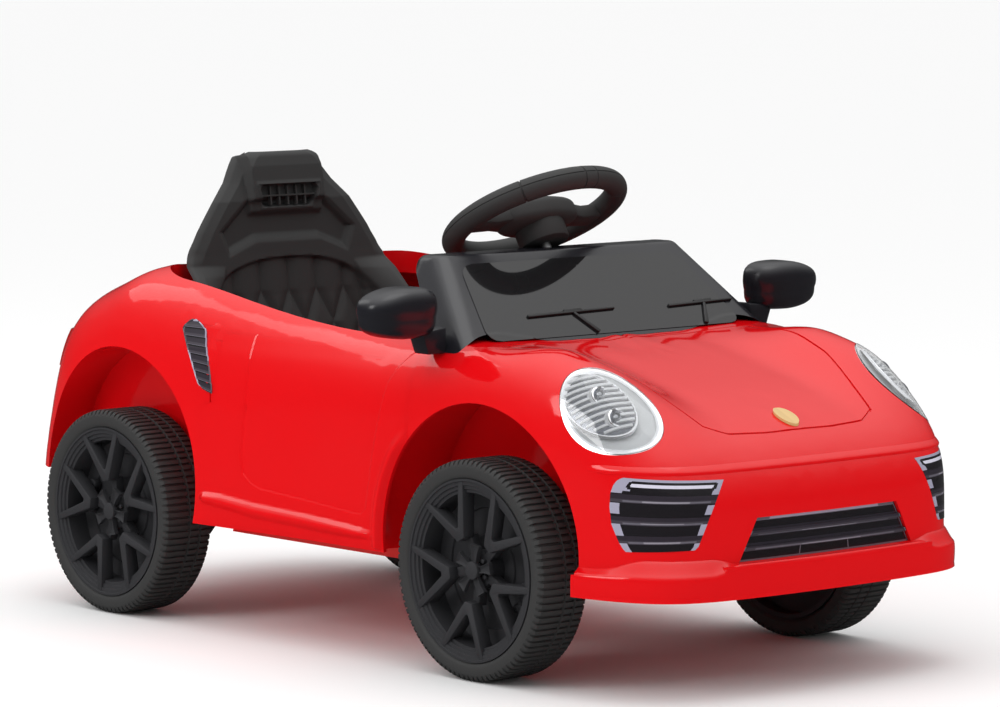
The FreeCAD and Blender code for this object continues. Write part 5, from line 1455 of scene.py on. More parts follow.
@dataclass
class Windscreen:
    """The gloss black hood with two moulded wipers on its glass."""

    foot_x: float = 230 * MM
    foot_z: float = 341 * MM
    top_x: float = 138 * MM
    top_z: float = 427 * MM
    wiper_low: float = 0.06
    wiper_high: float = 0.29
    blades: tuple[tuple[float, float, float, float], ...] = (
        (-112 * MM, 14 * MM, -46 * MM, -28 * MM), (93 * MM, 190 * MM, 146 * MM, 130 * MM))
    elbow_half: float = 13 * MM
    thick: float = 3.2 * MM
    edge_round: float = 0.7 * MM
    weld_gap: float = 0.002 * MM
    crease: float = 25.0
    shade_reach: float = 5 * MM
    glass_low: float = 0.045
    glass_high: float = 0.93
    glass_half: tuple[float, float] = (185 * MM, 157 * MM)
    glass_round: float = 0.16
    corner: float = 18 * MM
    glass_lift: float = 0.7 * MM
    glass_wall: float = 0.9 * MM

    def glass(self, skin: Skin) -> Piece:
        """The glass field, proud of the hood by a hair, with rounded corners.

        Args:
            skin: The hood's surface.

        Returns:
            The sheet.
        """
        out = self.outward()

        def place(s: float, t: float) -> Vector:
            """A point of the sheet.

            Args:
                s: The share of the way from the middle, below 0 to the right.
                t: The share of the way up.

            Returns:
                The point.
            """
            share = self.glass_low + (self.glass_high - self.glass_low) * t
            half = self.glass_half[0] + (self.glass_half[1] - self.glass_half[0]) * t
            half -= self.corner * rounded(max(0.0, 1 - min(t, 1 - t) / self.glass_round))
            return skin.onto(self.on_glass(s * half, share), -out, 0.1) + out * self.glass_lift

        sheet = Bench.lay(even(-1, 1, 81), even(0, 1, 61), place, out)
        Bench.modify(sheet, "SOLIDIFY", thickness=self.glass_wall, offset=-1.0)
        return Bench.paint(sheet, Finishes.BLACK_GLASS)

    def outward(self) -> Vector:
        """The way that the glass looks."""
        return Vector((self.top_z - self.foot_z, 0, self.foot_x - self.top_x)).normalized()

    def on_glass(self, y: float, share: float) -> Vector:
        """A point of the glass at y and a share of the way up."""
        return Vector((self.foot_x + (self.top_x - self.foot_x) * share, y,
                       self.foot_z + (self.top_z - self.foot_z) * share))

    def bar(self, skin: Skin, start: tuple[float, float], end: tuple[float, float], wide: float,
            tip: float) -> Piece:
        """A tapered bar that lies on the glass.

        Args:
            skin: The hood's surface.
            start: Its first end, as y and the share of the way up the glass.
            end: Its other end.
            wide: Its width at the first end.
            tip: Its width at the other end.

        Returns:
            The bar.
        """
        length = math.dist((self.foot_x, self.foot_z), (self.top_x, self.top_z))
        side = Vector(((start[1] - end[1]) * length, end[0] - start[0])).normalized()
        out = self.outward()
        corners = []
        for (y, share), half, signs in ((start, wide / 2, (-1, 1)), (end, tip / 2, (1, -1))):
            for sign in signs:
                spot = self.on_glass(y + side.x * half * sign, share + side.y * half * sign / length)
                corners.append(skin.onto(spot, -out, 0.1))
        return Bench.plate(corners, out * self.thick, self.edge_round)

    def build(self, nodes: dict[str, Piece]) -> None:
        """Smooth the hood and model the wipers.

        Args:
            nodes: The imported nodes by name.
        """
        skin = Skin(nodes["windscreen_cowl"])
        hood = Bench.paint(Bench.merged(nodes["windscreen_cowl"], self.weld_gap), Finishes.BLACK_GLOSS)
        Bench.finish(hood, "windscreen_hood", "car", "black_gloss", ["windscreen_cowl"], self.crease)
        Bench.even_normals(hood, lambda _: self.shade_reach, self.crease)
        Bench.finish(self.glass(skin), "windscreen_glass", "car", "black_gloss", [], 30)
        bars = []
        for start, end, elbow, foot in self.blades:
            high = self.wiper_high
            behind, ahead = elbow - self.elbow_half, elbow + self.elbow_half
            bars.append(self.bar(skin, (start, high), (end, high + 0.02), 3.6 * MM, 2.4 * MM))
            bars.append(self.bar(skin, (behind, high + 0.025), (ahead, high + 0.03), 3.6 * MM, 3.6 * MM))
            bars.append(self.bar(skin, (foot, self.wiper_low), (elbow, high), 5 * MM, 3.6 * MM))
        for bar in bars:
            Bench.paint(bar, Finishes.DEEP_BLACK)
        Bench.finish(Bench.join(bars), "wipers", "car", "black_gloss")


# Seat


@dataclass
class SeatMoulding:
    """The black moulded seat: a high back with headrest, vent grid and quilted arch, and a cushion.

    Its lengths are in mm unless they say otherwise.
    """

    low_z: float = 240.0
    top_z: float = 516.0
    wall: float = 7 * MM
    columns: int = 201
    rows: int = 181
    edge_round: float = 6.0
    vent_depth: float = 8.0
    vent_low: float = 453.5
    vent_top: float = 477.0
    bar_half: float = 1.1
    bar_sunk: float = 3.4
    bar_pitch: float = 12.7
    bar_depth: float = 5 * MM
    pitch: float = 41.0
    cushion_half: float = 148.0
    cushion_z: float = 246.0
    cushion_wall: float = 24 * MM
    cushion_x: tuple[float, float] = (-312.0, -140.0)
    bolster: float = 14.0
    front_round: float = 26.0
    side_round: float = 9.0
    outline: tuple[tuple[float, float], ...] = (
        (240, 150), (350, 152), (374, 150), (393, 145), (407, 138), (416, 132), (426, 126), (440, 116),
        (460, 101), (481, 80), (494, 71), (502, 65), (509, 59), (514, 51), (516, 44))
    face: tuple[tuple[float, float], ...] = (
        (214, -308), (350, -334), (400, -340), (460, -345), (500, -359), (516, -365))

    def headrest(self, flank: float, z: float) -> float:
        """How far the headrest block stands out, with the hollow of its vent.

        Args:
            flank: The distance from the middle.
            z: The height.

        Returns:
            The rise over the back's face.
        """
        side = 1 - clip((flank - 52) / 4)
        rise = self.block_out(z) * side * ramp(441, 449, z)
        reach = self.vent_reach(z)
        corner = max(0.0, flank - reach + 7) + max(0.0, z - 471, 461 - z)
        low, top = self.vent_low, self.vent_top
        inside = min(1 - clip((flank - reach) / 1.4), clip((z - low) / 1.4), 1 - clip((z - top) / 1.4),
                     1 - clip((corner - 9) / 1.4))
        edge = max(flank - reach, z - top, low - z)
        lip = 1.5 * math.exp(-((edge - 2.8) / 1.8) ** 2) * (1 - inside)
        return rise + lip * side * ramp(445, 450, z) - inside * self.vent_depth

    @staticmethod
    def block_out(z: float) -> float:
        """How far the headrest block stands out at a height."""
        return 7 + 8 * clip((z - 455) / 45)

    @staticmethod
    def vent_reach(z: float) -> float:
        """The half-width of the headrest's vent at a height."""
        return 43 - max(0.0, 478 - z) * 0.29

    def vent_bars(self) -> list[Piece]:
        """The thin upright bars and the level bar inside the vent.

        Returns:
            The bars.
        """
        reach = self.vent_reach(465.5)
        spans = [(self.bar_pitch * k - self.bar_half, self.bar_pitch * k + self.bar_half, 454.5, 476.5)
                 for k in range(-2, 3)]
        made = []
        for right, left, low, top in [*spans, (-reach, reach, 464.7, 466.3)]:
            outline = ((right, low), (left, low), (left, top), (right, top))
            corners = [self.face_spot(y, z) for y, z in outline]
            made.append(Bench.plate(corners, Vector((-self.bar_depth, 0, 0))))
        return made

    def face_spot(self, y: float, z: float) -> Vector:
        """A point just inside the headrest's face."""
        return Vector((along(self.face, z) + self.block_out(z) - self.bar_sunk, y, z)) * MM

    @staticmethod
    def recess(flank: float, z: float) -> float:
        """How the boomerang-shaped recess under the headrest steps in, over a sloped ledge.

        Args:
            flank: The distance from the middle.
            z: The height.

        Returns:
            The rise over the back's face, 0 or less.
        """
        floor = 414.5 - 0.383 * min(40.5, max(0.0, flank - 47))
        wide = 87.5 + 0.426 * (z - 399) if z < 426 else 99 - 1.15 * (z - 426)
        depth = min((z - floor) * 0.95, (wide - flank) * (0.92 if z < 426 else 0.66))
        open_top = 1 - ramp(458, 464, z)
        groove = 1.1 * math.exp(-(depth / 1.3) ** 2)
        return -(7.0 * clip(depth / 7.0) + groove) * open_top

    def quilt(self, y: float, z: float) -> float:
        """How the quilted arch dips below its border and swells between its seams.

        Args:
            y: The place across the back.
            z: The height.

        Returns:
            The rise over the back's face.
        """
        pitch = self.pitch
        reach = ((abs(y) / 127) ** 2.4 + (max(0.0, z - 318) / 77) ** 2.4) ** (1 / 2.4)
        inside = 1 - clip((reach - 0.955) / 0.045)
        fall = max(0.0, 356 - z) % (2 * pitch)
        drift = pitch / 2 * (fall / pitch if fall < pitch else 2 - fall / pitch)
        near = min(abs((y - shift + pitch / 2) % pitch - pitch / 2) for shift in (drift, -drift))
        swell = 3.2 * (1 - math.exp(-(near / 7.5) ** 2)) - 1.2 * math.exp(-(near / 1.5) ** 2)
        return inside * (-6.5 + swell)

    def flanks(self, flank: float, z: float, half: float) -> float:
        """How the outer edge is chamfered and the side bolsters rise.

        Args:
            flank: The distance from the middle.
            z: The height.
            half: The back's half-width there.

        Returns:
            The rise over the back's face.
        """
        inward = half - flank
        chamfer = -5.0 * (1 - clip((inward - 2) / 15)) * ramp(384, 404, z)
        edge = flank - 106 + 0.35 * max(0.0, z - 350)
        wing = clip(edge / 3)
        return chamfer + wing * (3 * clip((386 - z) / 10) + 38 * clip((388 - z) / 44) * clip(edge / 40))

    def front(self, share: float, z: float) -> Vector:
        """A point of the back's front face.

        Args:
            share: From -1 at the right edge to 1 at the left edge.
            z: The height in millimetres.

        Returns:
            The point.
        """
        half = along(self.outline, z)
        y = share * half
        flank = abs(y)
        rise = self.headrest(flank, z) + self.recess(flank, z) + self.quilt(y, z)
        rise += self.flanks(flank, z, half)
        rim = max(0.0, 1 - (half - flank) / self.edge_round)
        crown = max(0.0, 1 - (self.top_z - z) / self.edge_round)
        fall = rounded(math.hypot(rim, crown))
        return Vector((along(self.face, z) + rise - self.edge_round * fall, y, z)) * MM

    def cushion(self, x: float, share: float) -> Vector:
        """A point of the seat cushion's top, with raised sides and a rounded front edge.

        Args:
            x: The place along the car.
            share: From -1 at the right edge to 1 at the left edge.

        Returns:
            The point.
        """
        y = share * self.cushion_half
        flank = abs(y)
        seam = (y + self.pitch / 2) % self.pitch - self.pitch / 2
        channel = 1.6 * math.exp(-(seam / 2.2) ** 2) * (1 - ramp(96, 104, flank))
        front = max(0.0, 1 - (self.cushion_x[1] - x) / self.front_round)
        edge = max(0.0, 1 - (self.cushion_half - flank) / self.side_round)
        fall = self.front_round * rounded(front) + self.side_round * rounded(edge)
        return Vector((x, y, self.cushion_z + self.bolster * ramp(104, 128, flank) - channel - fall)) * MM

    def build(self) -> None:
        """Model the back and the cushion and join them."""
        shares = [math.sin(math.pi / 2 * s) * 0.25 + s * 0.75 for s in even(-1, 1, self.columns)]
        tall = self.top_z - self.low_z
        heights = [self.low_z + tall * (1 - (1 - t) ** 1.15) for t in even(0, 1, self.rows)]
        back = Bench.lay(shares, heights, self.front, Vector((1, 0, 0)))
        Bench.modify(back, "SOLIDIFY", thickness=self.wall, offset=-1.0)
        base = Bench.lay(even(*self.cushion_x, 40), even(-1, 1, 70), self.cushion, Vector((0, 0, 1)))
        Bench.modify(base, "SOLIDIFY", thickness=self.cushion_wall, offset=-1.0)
        whole = Bench.join([back, base, *self.vent_bars()])
        Bench.paint(whole, Finishes.BLACK_SATIN)
        Bench.finish(whole, "seat_moulding", "car", "black_satin", ["seat"], 34)


# Mirrors


@dataclass
class DoorMirror:
    """A gloss black mirror: a housing in two halves with a step between, taller inwards, on a short foot."""

    side: Side
    centre: Vector
    half_x: float = 30 * MM
    half_y: float = 46 * MM
    half_z: float = 27 * MM
    square: float = 3.8
    plan_square: float = 2.7
    flat_x: float = -12 * MM
    split: float = -0.02
    step: float = 1.8
    groove: float = 0.8
    taper_up: float = 0.30
    taper_down: float = 0.24
    foot: tuple[tuple[float, float], ...] = ((222, 334), (247, 334), (256, 358), (222, 362))
    foot_ahead: float = 14 * MM
    foot_deep: float = 24 * MM

    def skin_point(self, turn: float, rise: float) -> Vector:
        """A point of the housing.

        Args:
            turn: The angle round it.
            rise: The angle up it.

        Returns:
            The point.
        """
        upright, plan = 2 / self.square, 2 / self.plan_square
        level = signed_power(math.sin(rise), upright)
        ring = signed_power(math.cos(rise), upright)
        step = self.step * clip((self.split - level) / 0.05)
        inset = (step + self.groove * math.exp(-((level - self.split) / 0.03) ** 2)) * MM
        x = (self.half_x - inset) * ring * signed_power(math.cos(turn), plan)
        y = (self.half_y - inset) * ring * signed_power(math.sin(turn), plan)
        outward = y * self.side.value / self.half_y
        taper = 1 - (self.taper_up if level > 0 else self.taper_down) * max(0.0, outward) ** 1.4
        return self.centre + Vector((max(self.flat_x, x), y, self.half_z * level * taper))

    def build(self, nodes: dict[str, Piece]) -> None:
        """Model the housing and its foot.

        Args:
            nodes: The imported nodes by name.
        """
        hand = self.side.value
        head = Bench.lay(even(0, math.tau, 97), even(-math.pi / 2, math.pi / 2, 81), self.skin_point)
        front = self.centre.x + self.foot_ahead
        outline = [Vector((front, hand * y * MM, z * MM)) for y, z in self.foot]
        foot = Bench.plate(outline, Vector((-self.foot_deep, 0, 0)), 2.5 * MM)
        whole = Bench.join([head, foot])
        Bench.paint(whole, Finishes.BLACK_GLOSS)
        label = self.side.label
        Bench.finish(whole, f"mirror_case_{label}", "car", "black_gloss", [f"mirror_housing_{label}"], 30)


# Steering wheel


@dataclass
class SteeringWheel:
    """The black steering wheel: a grooved grip, a deep pad with two pods, and a round boss on the column."""

    centre: Vector
    up: Vector
    ring: float = 94 * MM
    tube: float = 12.5 * MM
    groove_angles: tuple[float, ...] = (-46, -4.5, 4.5, 46, 134, 226)
    groove_wide: float = 0.55
    groove_depth: float = 1.1 * MM
    seam_depth: float = 0.9 * MM
    seam_angle: float = 8.0
    pad: tuple[float, float, float] = (33 * MM, 50 * MM, 15 * MM)
    pad_square: float = 3.6
    pad_sunk: float = 2 * MM
    boss: float = 28 * MM
    pod_outline: tuple[tuple[float, float], ...] = (
        (-22, 34), (-15, 60), (-17, 90), (13, 90), (10, 62), (20, 34))
    pod_low: float = -10.0
    pod_tall: float = 15 * MM

    def frame(self) -> Matrix:
        """The wheel's own frame: Z up the column, X to the front, Y left.

        Returns:
            The matrix from that frame to the car's.
        """
        z = self.up.normalized()
        y = Vector((0, 1, 0))
        x = y.cross(z).normalized()
        turn = Matrix((x, y, z)).transposed().to_4x4()
        return Matrix.Translation(self.centre) @ turn

    def grip_point(self, angle: float, around: float) -> Vector:
        """A point of the grip.

        Args:
            angle: The degrees round the wheel.
            around: The degrees round the tube.

        Returns:
            The point in the wheel's frame.
        """
        near = min(abs((angle - mark + 180) % 360 - 180) for mark in self.groove_angles)
        dip = self.groove_depth * (1 - ramp(0.25, self.groove_wide, near))
        seam = self.seam_depth * (1 - ramp(1.0, 3.0, abs((around - self.seam_angle + 180) % 360 - 180)))
        tube = self.tube - max(dip, seam)
        reach = self.ring + tube * math.cos(math.radians(around))
        turn = math.radians(angle)
        return Vector((reach * math.cos(turn), reach * math.sin(turn), tube * math.sin(math.radians(around))))

    def pad_point(self, turn: float, rise: float) -> Vector:
        """A point of the middle pad, a soft-cornered block that is wider to the sides.

        Args:
            turn: The angle round the pad.
            rise: The angle up it.

        Returns:
            The point in the wheel's frame.
        """
        power = 2 / self.pad_square
        deep, wide, tall = self.pad
        level = signed_power(math.sin(rise), power)
        ring = abs(math.cos(rise)) ** power
        x = deep * ring * signed_power(math.cos(turn), power)
        y = wide * ring * signed_power(math.sin(turn), power)
        return Vector((x * (1 - 0.25 * abs(y) / wide), y, tall * level - self.pad_sunk))

    def pod(self, hand: int) -> Piece:
        """One of the two pods from the pad to the grip."""
        outline = [Vector((x, hand * y, self.pod_low)) * MM for x, y in self.pod_outline]
        return Bench.plate(outline, Vector((0, 0, self.pod_tall)), 2.5 * MM)

    def build(self) -> None:
        """Model the wheel and put it on its column."""
        steps = (-0.6, -0.25, 0.0, 0.25, 0.6)
        marks = {(mark + step) % 360 for mark in self.groove_angles for step in steps}
        angles = sorted(marks | {float(a) for a in range(0, 360, 3)})
        around = sorted({float(a) for a in range(-180, 181, 10)} | {5.0, 7.0, 8.0, 9.0, 11.0})
        parts = [Bench.lay([*angles, angles[0] + 360], around, self.grip_point)]
        parts.append(Bench.lay(even(0, math.tau, 49), even(-math.pi / 2, math.pi / 2, 33), self.pad_point))
        parts += [self.pod(1), self.pod(-1)]
        base = Vector((0, 0, -35 * MM))
        parts.append(Bench.knob(self.boss, 30 * MM, base, Vector((0, 0, 1)), 1.5 * MM, 48))
        whole = Bench.join(parts)
        Bench.settle(whole, self.frame())
        Bench.paint(whole, Finishes.BLACK_SATIN)
        Bench.finish(whole, "steering_wheel_moulding", "steering", "black_satin", ["steering_wheel"], 35)


# Road wheels


@dataclass
class RoadWheel:
    """A road wheel: a tyre with cross slots, a stepped rim with five vees of spokes, and a pronged cap."""

    radius: float = 116 * MM
    half: float = 33 * MM
    bead: float = 96 * MM
    pitches: int = 96
    slot_depth: float = 2.4 * MM
    vees: int = 5
    spoke_y: float = 13.5
    spoke_deep: float = 15 * MM
    spoke_rise: float = 2.6 * MM
    prong_y: float = 20.5
    prong_deep: float = 6 * MM
    prong_edge: float = 2.0 * MM
    prong_slot: float = 3.2 * MM

    def tyre(self) -> Piece:
        """The tyre, with its face to +Y.

        Returns:
            The tyre.
        """
        h, r, b = self.half / MM, self.radius / MM, self.bead / MM
        outline: list[tuple[float, float, bool]] = [
            (-h + 4, b, False), (-h, b + 4, False), (-h, r - 7, False), (-h + 1.2, r - 3.2, True),
            (-h + 3.5, r - 1.0, True), (-h + 7, r - 0.2, True), (-16.4, r, True), (-16.0, r - 0.1, False),
            (-15.4, r - 1.3, False), (-14.4, r - 1.3, False), (-13.8, r - 0.1, False), (-13.4, r, True),
            (-1.6, r, True), (-1.2, r - 0.1, False), (-0.6, r - 1.3, False), (0.4, r - 1.3, False),
            (1.0, r - 0.1, False), (1.4, r, True), (h - 7, r - 0.2, True), (h - 3.5, r - 1.0, True),
            (h - 1.2, r - 3.2, True), (h, r - 7, False), (h, b + 5, False), (h - 1.5, b + 1.5, False),
            (h - 3, b, False), (-h + 4, b, False),
        ]
        phases = (0.0, 0.07, 0.36, 0.43)
        pitch = math.tau / self.pitches
        columns = [(k + phase) * pitch for k in range(self.pitches) for phase in phases] + [math.tau]

        def place(angle: float, row: float) -> Vector:
            """A point of the tyre.

            Args:
                angle: The angle round the tyre.
                row: The row of its outline.

            Returns:
                The point.
            """
            level, reach, slotted = outline[int(row)]
            phase = (angle / pitch + 1e-6) % 1.0
            if slotted and 0.05 < phase < 0.40:
                reach -= self.slot_depth / MM
            return Vector((reach * math.sin(angle), level, reach * math.cos(angle))) * MM

        return Bench.paint(Bench.lay(columns, list(range(len(outline))), place), Finishes.TYRE)

    def rim(self) -> Piece:
        """The rim's barrel with stepped rings, its back plate and its hub.

        Returns:
            The rim.
        """
        rings = [(32, 95.8), (32, 93.4), (30.4, 92.7), (30.0, 89.0), (28.2, 88.3), (27.8, 84.9), (25.8, 84.2),
                 (25.4, 81.1), (2, 79.5), (0, 64), (-2, 63), (-2, 37), (0, 36), (0, 21), (16, 20), (17, 19),
                 (17, 8), (12, 7), (12, 5.1), (-32, 5.1), (-32, 25), (-14, 25), (-14, 90), (-32, 90.5),
                 (-32, 95.8)]
        return Bench.paint(Bench.turned([(y * MM, r * MM) for y, r in rings], 120), Finishes.WHEEL)

    @staticmethod
    def flat(corners: Sequence[tuple[float, float]], y: float) -> list[Vector]:
        """An outline across the wheel at a distance along its axle, in mm."""
        return [Vector((x, y, z)) * MM for x, z in corners]

    def vee(self) -> Piece:
        """One vee of two spokes, its point towards the hub and its middle up.

        Returns:
            The vee with its link to the hub.
        """
        def polar(reach: float, degrees: float) -> tuple[float, float]:
            """A corner by its distance from the axle and its angle from the middle."""
            return reach * math.sin(math.radians(degrees)), reach * math.cos(math.radians(degrees))

        half = [(5.7, 34.5), polar(94.5, 21.6), polar(94.5, 17.2), (1.8, 48.0)]
        corners = half + [(-x, z) for x, z in reversed(half)]
        vee = Bench.plate(self.flat(corners, self.spoke_y), Vector((0, self.spoke_deep, 0)))
        for vertex in vee.data.vertices:
            reach = math.hypot(vertex.co.x, vertex.co.z)
            if vertex.co.y > 20 * MM:
                vertex.co.y += self.spoke_rise * ramp(41 * MM, 93 * MM, reach)
        Bench.modify(vee, "BEVEL", width=1.1 * MM, segments=2, limit_method="ANGLE")
        foot = self.flat(((-5, 18), (5, 18), (5, 38), (-5, 38)), 6)
        return Bench.join([vee, Bench.plate(foot, Vector((0, 11 * MM, 0)), 0.8 * MM)])

    def brake(self) -> list[Piece]:
        """The moulded brake caliper and its bolts behind the spokes.

        Returns:
            Their pieces.
        """
        outward = Vector((0, 1, 0))
        spots = ((60, 62), (68, 66), (76, 66), (84, 62))
        made = []
        for degrees, reach in spots:
            turn = math.radians(degrees)
            base = Vector((reach * math.sin(turn), 0, reach * math.cos(turn))) * MM
            made.append(Bench.knob(7 * MM, 9 * MM, base, outward, 1.5 * MM, 12))
            made.append(Bench.knob(2.2 * MM, 11 * MM, base, outward, 0.6 * MM, 8))
        return made

    def cap(self) -> Piece:
        """The centre cap: five slotted prongs between the vees and a flat button.

        Returns:
            The cap.
        """
        parts = [Bench.knob(9.5 * MM, 7 * MM, Vector((0, 21 * MM, 0)), Vector((0, 1, 0)), 0.9 * MM)]
        corners = ((-3.4, 7.5), (3.4, 7.5), (4.2, 18), (6.6, 27), (-6.6, 27), (-4.2, 18))
        for k in range(self.vees):
            prong = Bench.plate(self.flat(corners, self.prong_y), Vector((0, self.prong_deep, 0)))
            Bench.hold(prong)
            bpy.ops.object.mode_set(mode="EDIT")
            bpy.ops.mesh.select_all(action="DESELECT")
            bpy.ops.object.mode_set(mode="OBJECT")
            for face in prong.data.polygons:
                face.select = face.normal.y > 0.9
            bpy.ops.object.mode_set(mode="EDIT")
            bpy.ops.mesh.inset(thickness=self.prong_edge)
            bpy.ops.transform.translate(value=(0, -self.prong_slot, 0))
            bpy.ops.object.mode_set(mode="OBJECT")
            Bench.modify(prong, "BEVEL", width=0.5 * MM, segments=1, limit_method="ANGLE")
            Bench.settle(prong, Matrix.Rotation((k + 0.5) * math.tau / self.vees, 4, "Y"))
            parts.append(prong)
        return Bench.paint(Bench.join(parts), Finishes.WHEEL)

    def wheel(self) -> Piece:
        """The whole rim with its spokes, lugs and brake.

        Returns:
            The wheel without its tyre and cap.
        """
        parts = [self.rim()]
        vee = self.vee()
        for k in range(self.vees):
            turn = Matrix.Rotation(k * math.tau / self.vees, 4, "Y")
            arm = Bench.copy(vee)
            Bench.settle(arm, turn)
            base = turn @ Vector((0, 16 * MM, 14 * MM))
            parts += [arm, Bench.knob(2.8 * MM, 5 * MM, base, Vector((0, 1, 0)), 0.5 * MM, 6)]
        bpy.data.objects.remove(vee)
        return Bench.paint(Bench.join(parts + self.brake()), Finishes.WHEEL)

    def build(self, places: dict[tuple[End, Side], tuple[Vector, float]]) -> None:
        """Model one wheel and put a copy on each axle end.

        Args:
            places: The middle of each wheel and the degrees that it is turned.
        """
        models = {"tyre": (self.tyre(), "tyre_black"), "wheel": (self.wheel(), "wheel_black"),
                  "hub_cap": (self.cap(), "wheel_black")}
        for (end, side), (middle, degrees) in places.items():
            facing = Matrix.Rotation(0.0 if side is Side.LEFT else math.pi, 4, "Z")
            matrix = Matrix.Translation(middle) @ facing @ Matrix.Rotation(math.radians(degrees), 4, "Y")
            tail = f"{end.value}_{side.label}"
            for kind, (model, slot) in models.items():
                piece = Bench.copy(model)
                Bench.settle(piece, matrix)
                Bench.finish(piece, f"{kind}_{tail}_moulding", f"wheel_{tail}", slot, [f"{kind}_{tail}"], 30)
        for model, _ in models.values():
            bpy.data.objects.remove(model)


# Studio


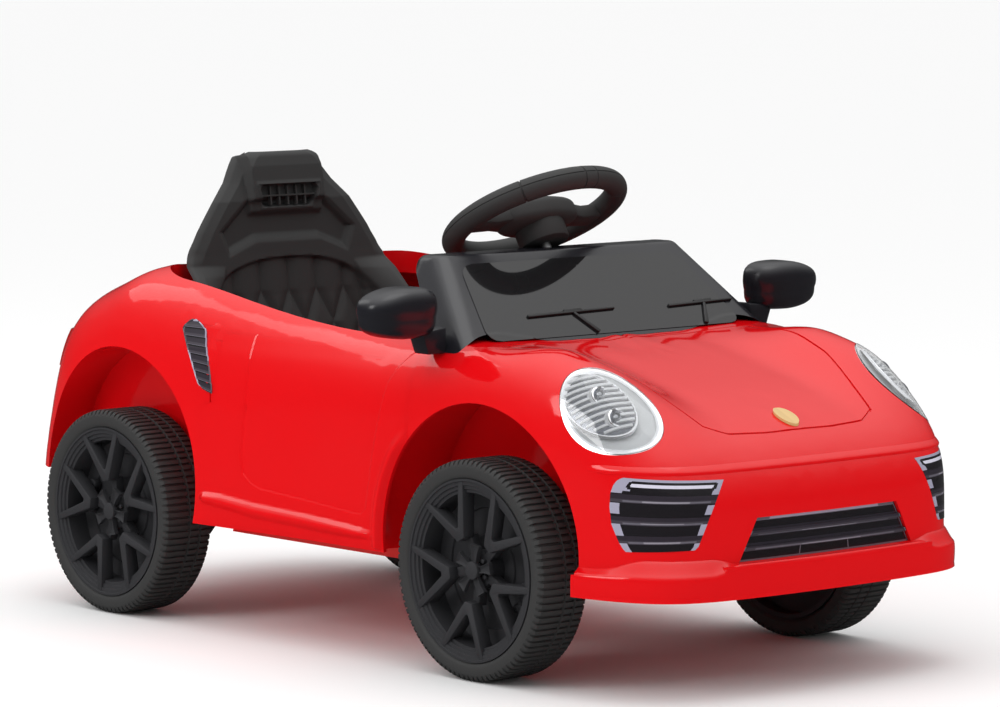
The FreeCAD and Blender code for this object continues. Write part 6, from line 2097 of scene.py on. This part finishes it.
@dataclass
class Studio:
    """The floor, the soft light and the camera at the photo's place."""

    camera_place: Vector
    camera_way: Vector
    lens: float = 170.74
    sensor: float = 36.0
    floor_size: float = 120.0
    floor_tone: tuple[float, float, float] = (0.95, 0.95, 0.95)
    mirrored_floor: tuple[float, float, float] = (0.06, 0.06, 0.06)
    soft_light: tuple[float, float] = (0.42, 1.62)
    mirrored_sky: tuple[float, float] = (0.06, 2.0)
    sky_power: float = 2.0
    aim: tuple[float, float, float] = (0, 0, 0.25)
    lamps: tuple[tuple[str, tuple[float, float, float], float, float], ...] = (
        ("top_softbox", (0.3, 0.2, 2.6), 1.6, 6), ("side_softbox", (-0.6, -3.2, 1.9), 1.4, 24),
        ("back_softbox", (-3.0, -0.8, 2.5), 1.5, 8))

    def floor(self) -> None:
        """A wide plain white floor, which reflections see darker."""
        Bench.clear()
        bpy.ops.mesh.primitive_plane_add(size=self.floor_size)
        ground = bpy.context.object
        ground.name = "studio_floor"
        made = bpy.data.materials.new("studio_white")
        made.use_nodes = True
        tree = made.node_tree
        shader = tree.nodes["Principled BSDF"]
        shader.inputs["Roughness"].default_value = 0.9
        shader.inputs["Specular IOR Level"].default_value = 0.1
        path = tree.nodes.new("ShaderNodeLightPath")
        tone = tree.nodes.new("ShaderNodeMix")
        tone.data_type = "RGBA"
        tone.inputs[6].default_value = (*self.floor_tone, 1.0)
        tone.inputs[7].default_value = (*self.mirrored_floor, 1.0)
        tree.links.new(path.outputs["Is Glossy Ray"], tone.inputs["Factor"])
        tree.links.new(tone.outputs[2], shader.inputs["Base Color"])
        ground.data.materials.append(made)

    def sky(self) -> None:
        """A surround that is white to the camera, and brighter overhead for soft light and reflections."""
        world = bpy.data.worlds.new("studio_world")
        bpy.context.scene.world = world
        world.use_nodes = True
        tree = world.node_tree
        way = tree.nodes.new("ShaderNodeTexCoord")
        parts = tree.nodes.new("ShaderNodeSeparateXYZ")
        square = tree.nodes.new("ShaderNodeMath")
        square.operation = "POWER"
        square.use_clamp = True
        square.inputs[1].default_value = self.sky_power
        rise = tree.nodes.new("ShaderNodeMapRange")
        rise.inputs["To Min"].default_value, rise.inputs["To Max"].default_value = self.mirrored_sky
        path = tree.nodes.new("ShaderNodeLightPath")
        seen = tree.nodes.new("ShaderNodeMath")
        seen.operation = "MAXIMUM"
        soft = tree.nodes.new("ShaderNodeMapRange")
        soft.inputs["To Min"].default_value, soft.inputs["To Max"].default_value = self.soft_light
        glossy = tree.nodes.new("ShaderNodeMix")
        direct = tree.nodes.new("ShaderNodeMix")
        direct.inputs["B"].default_value = 1.0
        links = tree.links
        links.new(way.outputs["Generated"], parts.inputs["Vector"])
        links.new(parts.outputs["Z"], square.inputs[0])
        links.new(square.outputs["Value"], rise.inputs["Value"])
        links.new(square.outputs["Value"], soft.inputs["Value"])
        links.new(soft.outputs["Result"], glossy.inputs["A"])
        links.new(path.outputs["Is Glossy Ray"], glossy.inputs["Factor"])
        links.new(rise.outputs["Result"], glossy.inputs["B"])
        links.new(path.outputs["Is Camera Ray"], seen.inputs[0])
        links.new(path.outputs["Is Transmission Ray"], seen.inputs[1])
        links.new(seen.outputs["Value"], direct.inputs["Factor"])
        links.new(glossy.outputs["Result"], direct.inputs["A"])
        links.new(direct.outputs["Result"], tree.nodes["Background"].inputs["Strength"])
        tree.nodes["Background"].inputs["Color"].default_value = (1, 1, 1, 1)

    @staticmethod
    def lamp(name: str, place: Vector, aim: Vector, size: float, power: float) -> None:
        """A square soft lamp.

        Args:
            name: Its name.
            place: Where it hangs.
            aim: What it points at.
            size: The length of its sides.
            power: Its power in watts.
        """
        Bench.clear()
        bpy.ops.object.light_add(type="AREA", location=place)
        made = bpy.context.object
        made.name = name
        made.rotation_euler = (aim - place).to_track_quat("-Z", "Y").to_euler()
        made.data.shape = "SQUARE"
        made.data.size = size
        made.data.energy = power

    def build(self) -> None:
        """Set up floor, surround, lamps and camera."""
        self.floor()
        self.sky()
        for name, place, size, power in self.lamps:
            self.lamp(name, Vector(place), Vector(self.aim), size, power)
        bpy.ops.object.camera_add(location=self.camera_place)
        camera = bpy.context.object
        camera.rotation_euler = self.camera_way.to_track_quat("-Z", "Y").to_euler()
        camera.data.lens = self.lens
        camera.data.sensor_width = self.sensor
        camera.data.sensor_fit = "HORIZONTAL"
        bpy.context.scene.camera = camera
        bpy.context.scene.view_settings.view_transform = "Standard"


NOSE_HUB = Vector((0.33, 0, 0))
LAMP_PLACE = Vector((0.435, 0.203, 0.291))
MIRROR_PLACE = Vector((0.186, 0.279, 0.379))
CAMERA_PLACE = Vector((3.959, -3.443, 0.817))
CAMERA_WAY = Vector((-0.74842, 0.65608, -0.09711))
WHEEL_TURNS = {End.FRONT: 172.0, End.REAR: 8.0}


def main() -> None:
    """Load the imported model, build every sub-assembly and set up the studio."""
    logging.basicConfig(level=logging.INFO, format="%(message)s")
    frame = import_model()
    nodes = frame["nodes"]
    joints = {joint["name"]: joint for joint in frame["joints"]}
    for name, thing in nodes.items():
        Bench.paint(thing, finish_of(name))
    BodyPanels().build(nodes)
    BumperTrim(NOSE_HUB).build(nodes)
    for side in Side:
        Headlamp(side, side.put(LAMP_PLACE)).build(nodes)
        DoorMirror(side, side.put(MIRROR_PLACE)).build(nodes)
        FogPanel(side).build(nodes)
        SideVent(side).build(nodes)
        DoorFlank(side).build(nodes)
    GrillePanel().build(nodes)
    Windscreen().build(nodes)
    SeatMoulding().build()
    turn = joints["steering_turn"]
    SteeringWheel(Vector(turn["pos_m"]), Vector(turn["axis"])).build()
    places = {(end, side): (Vector(joints[f"{end.value}_{side.label}_spin"]["pos_m"]), WHEEL_TURNS[end])
              for end in End for side in Side}
    RoadWheel().build(places)
    Studio(CAMERA_PLACE, CAMERA_WAY).build()


if __name__ == "__main__":
    main()
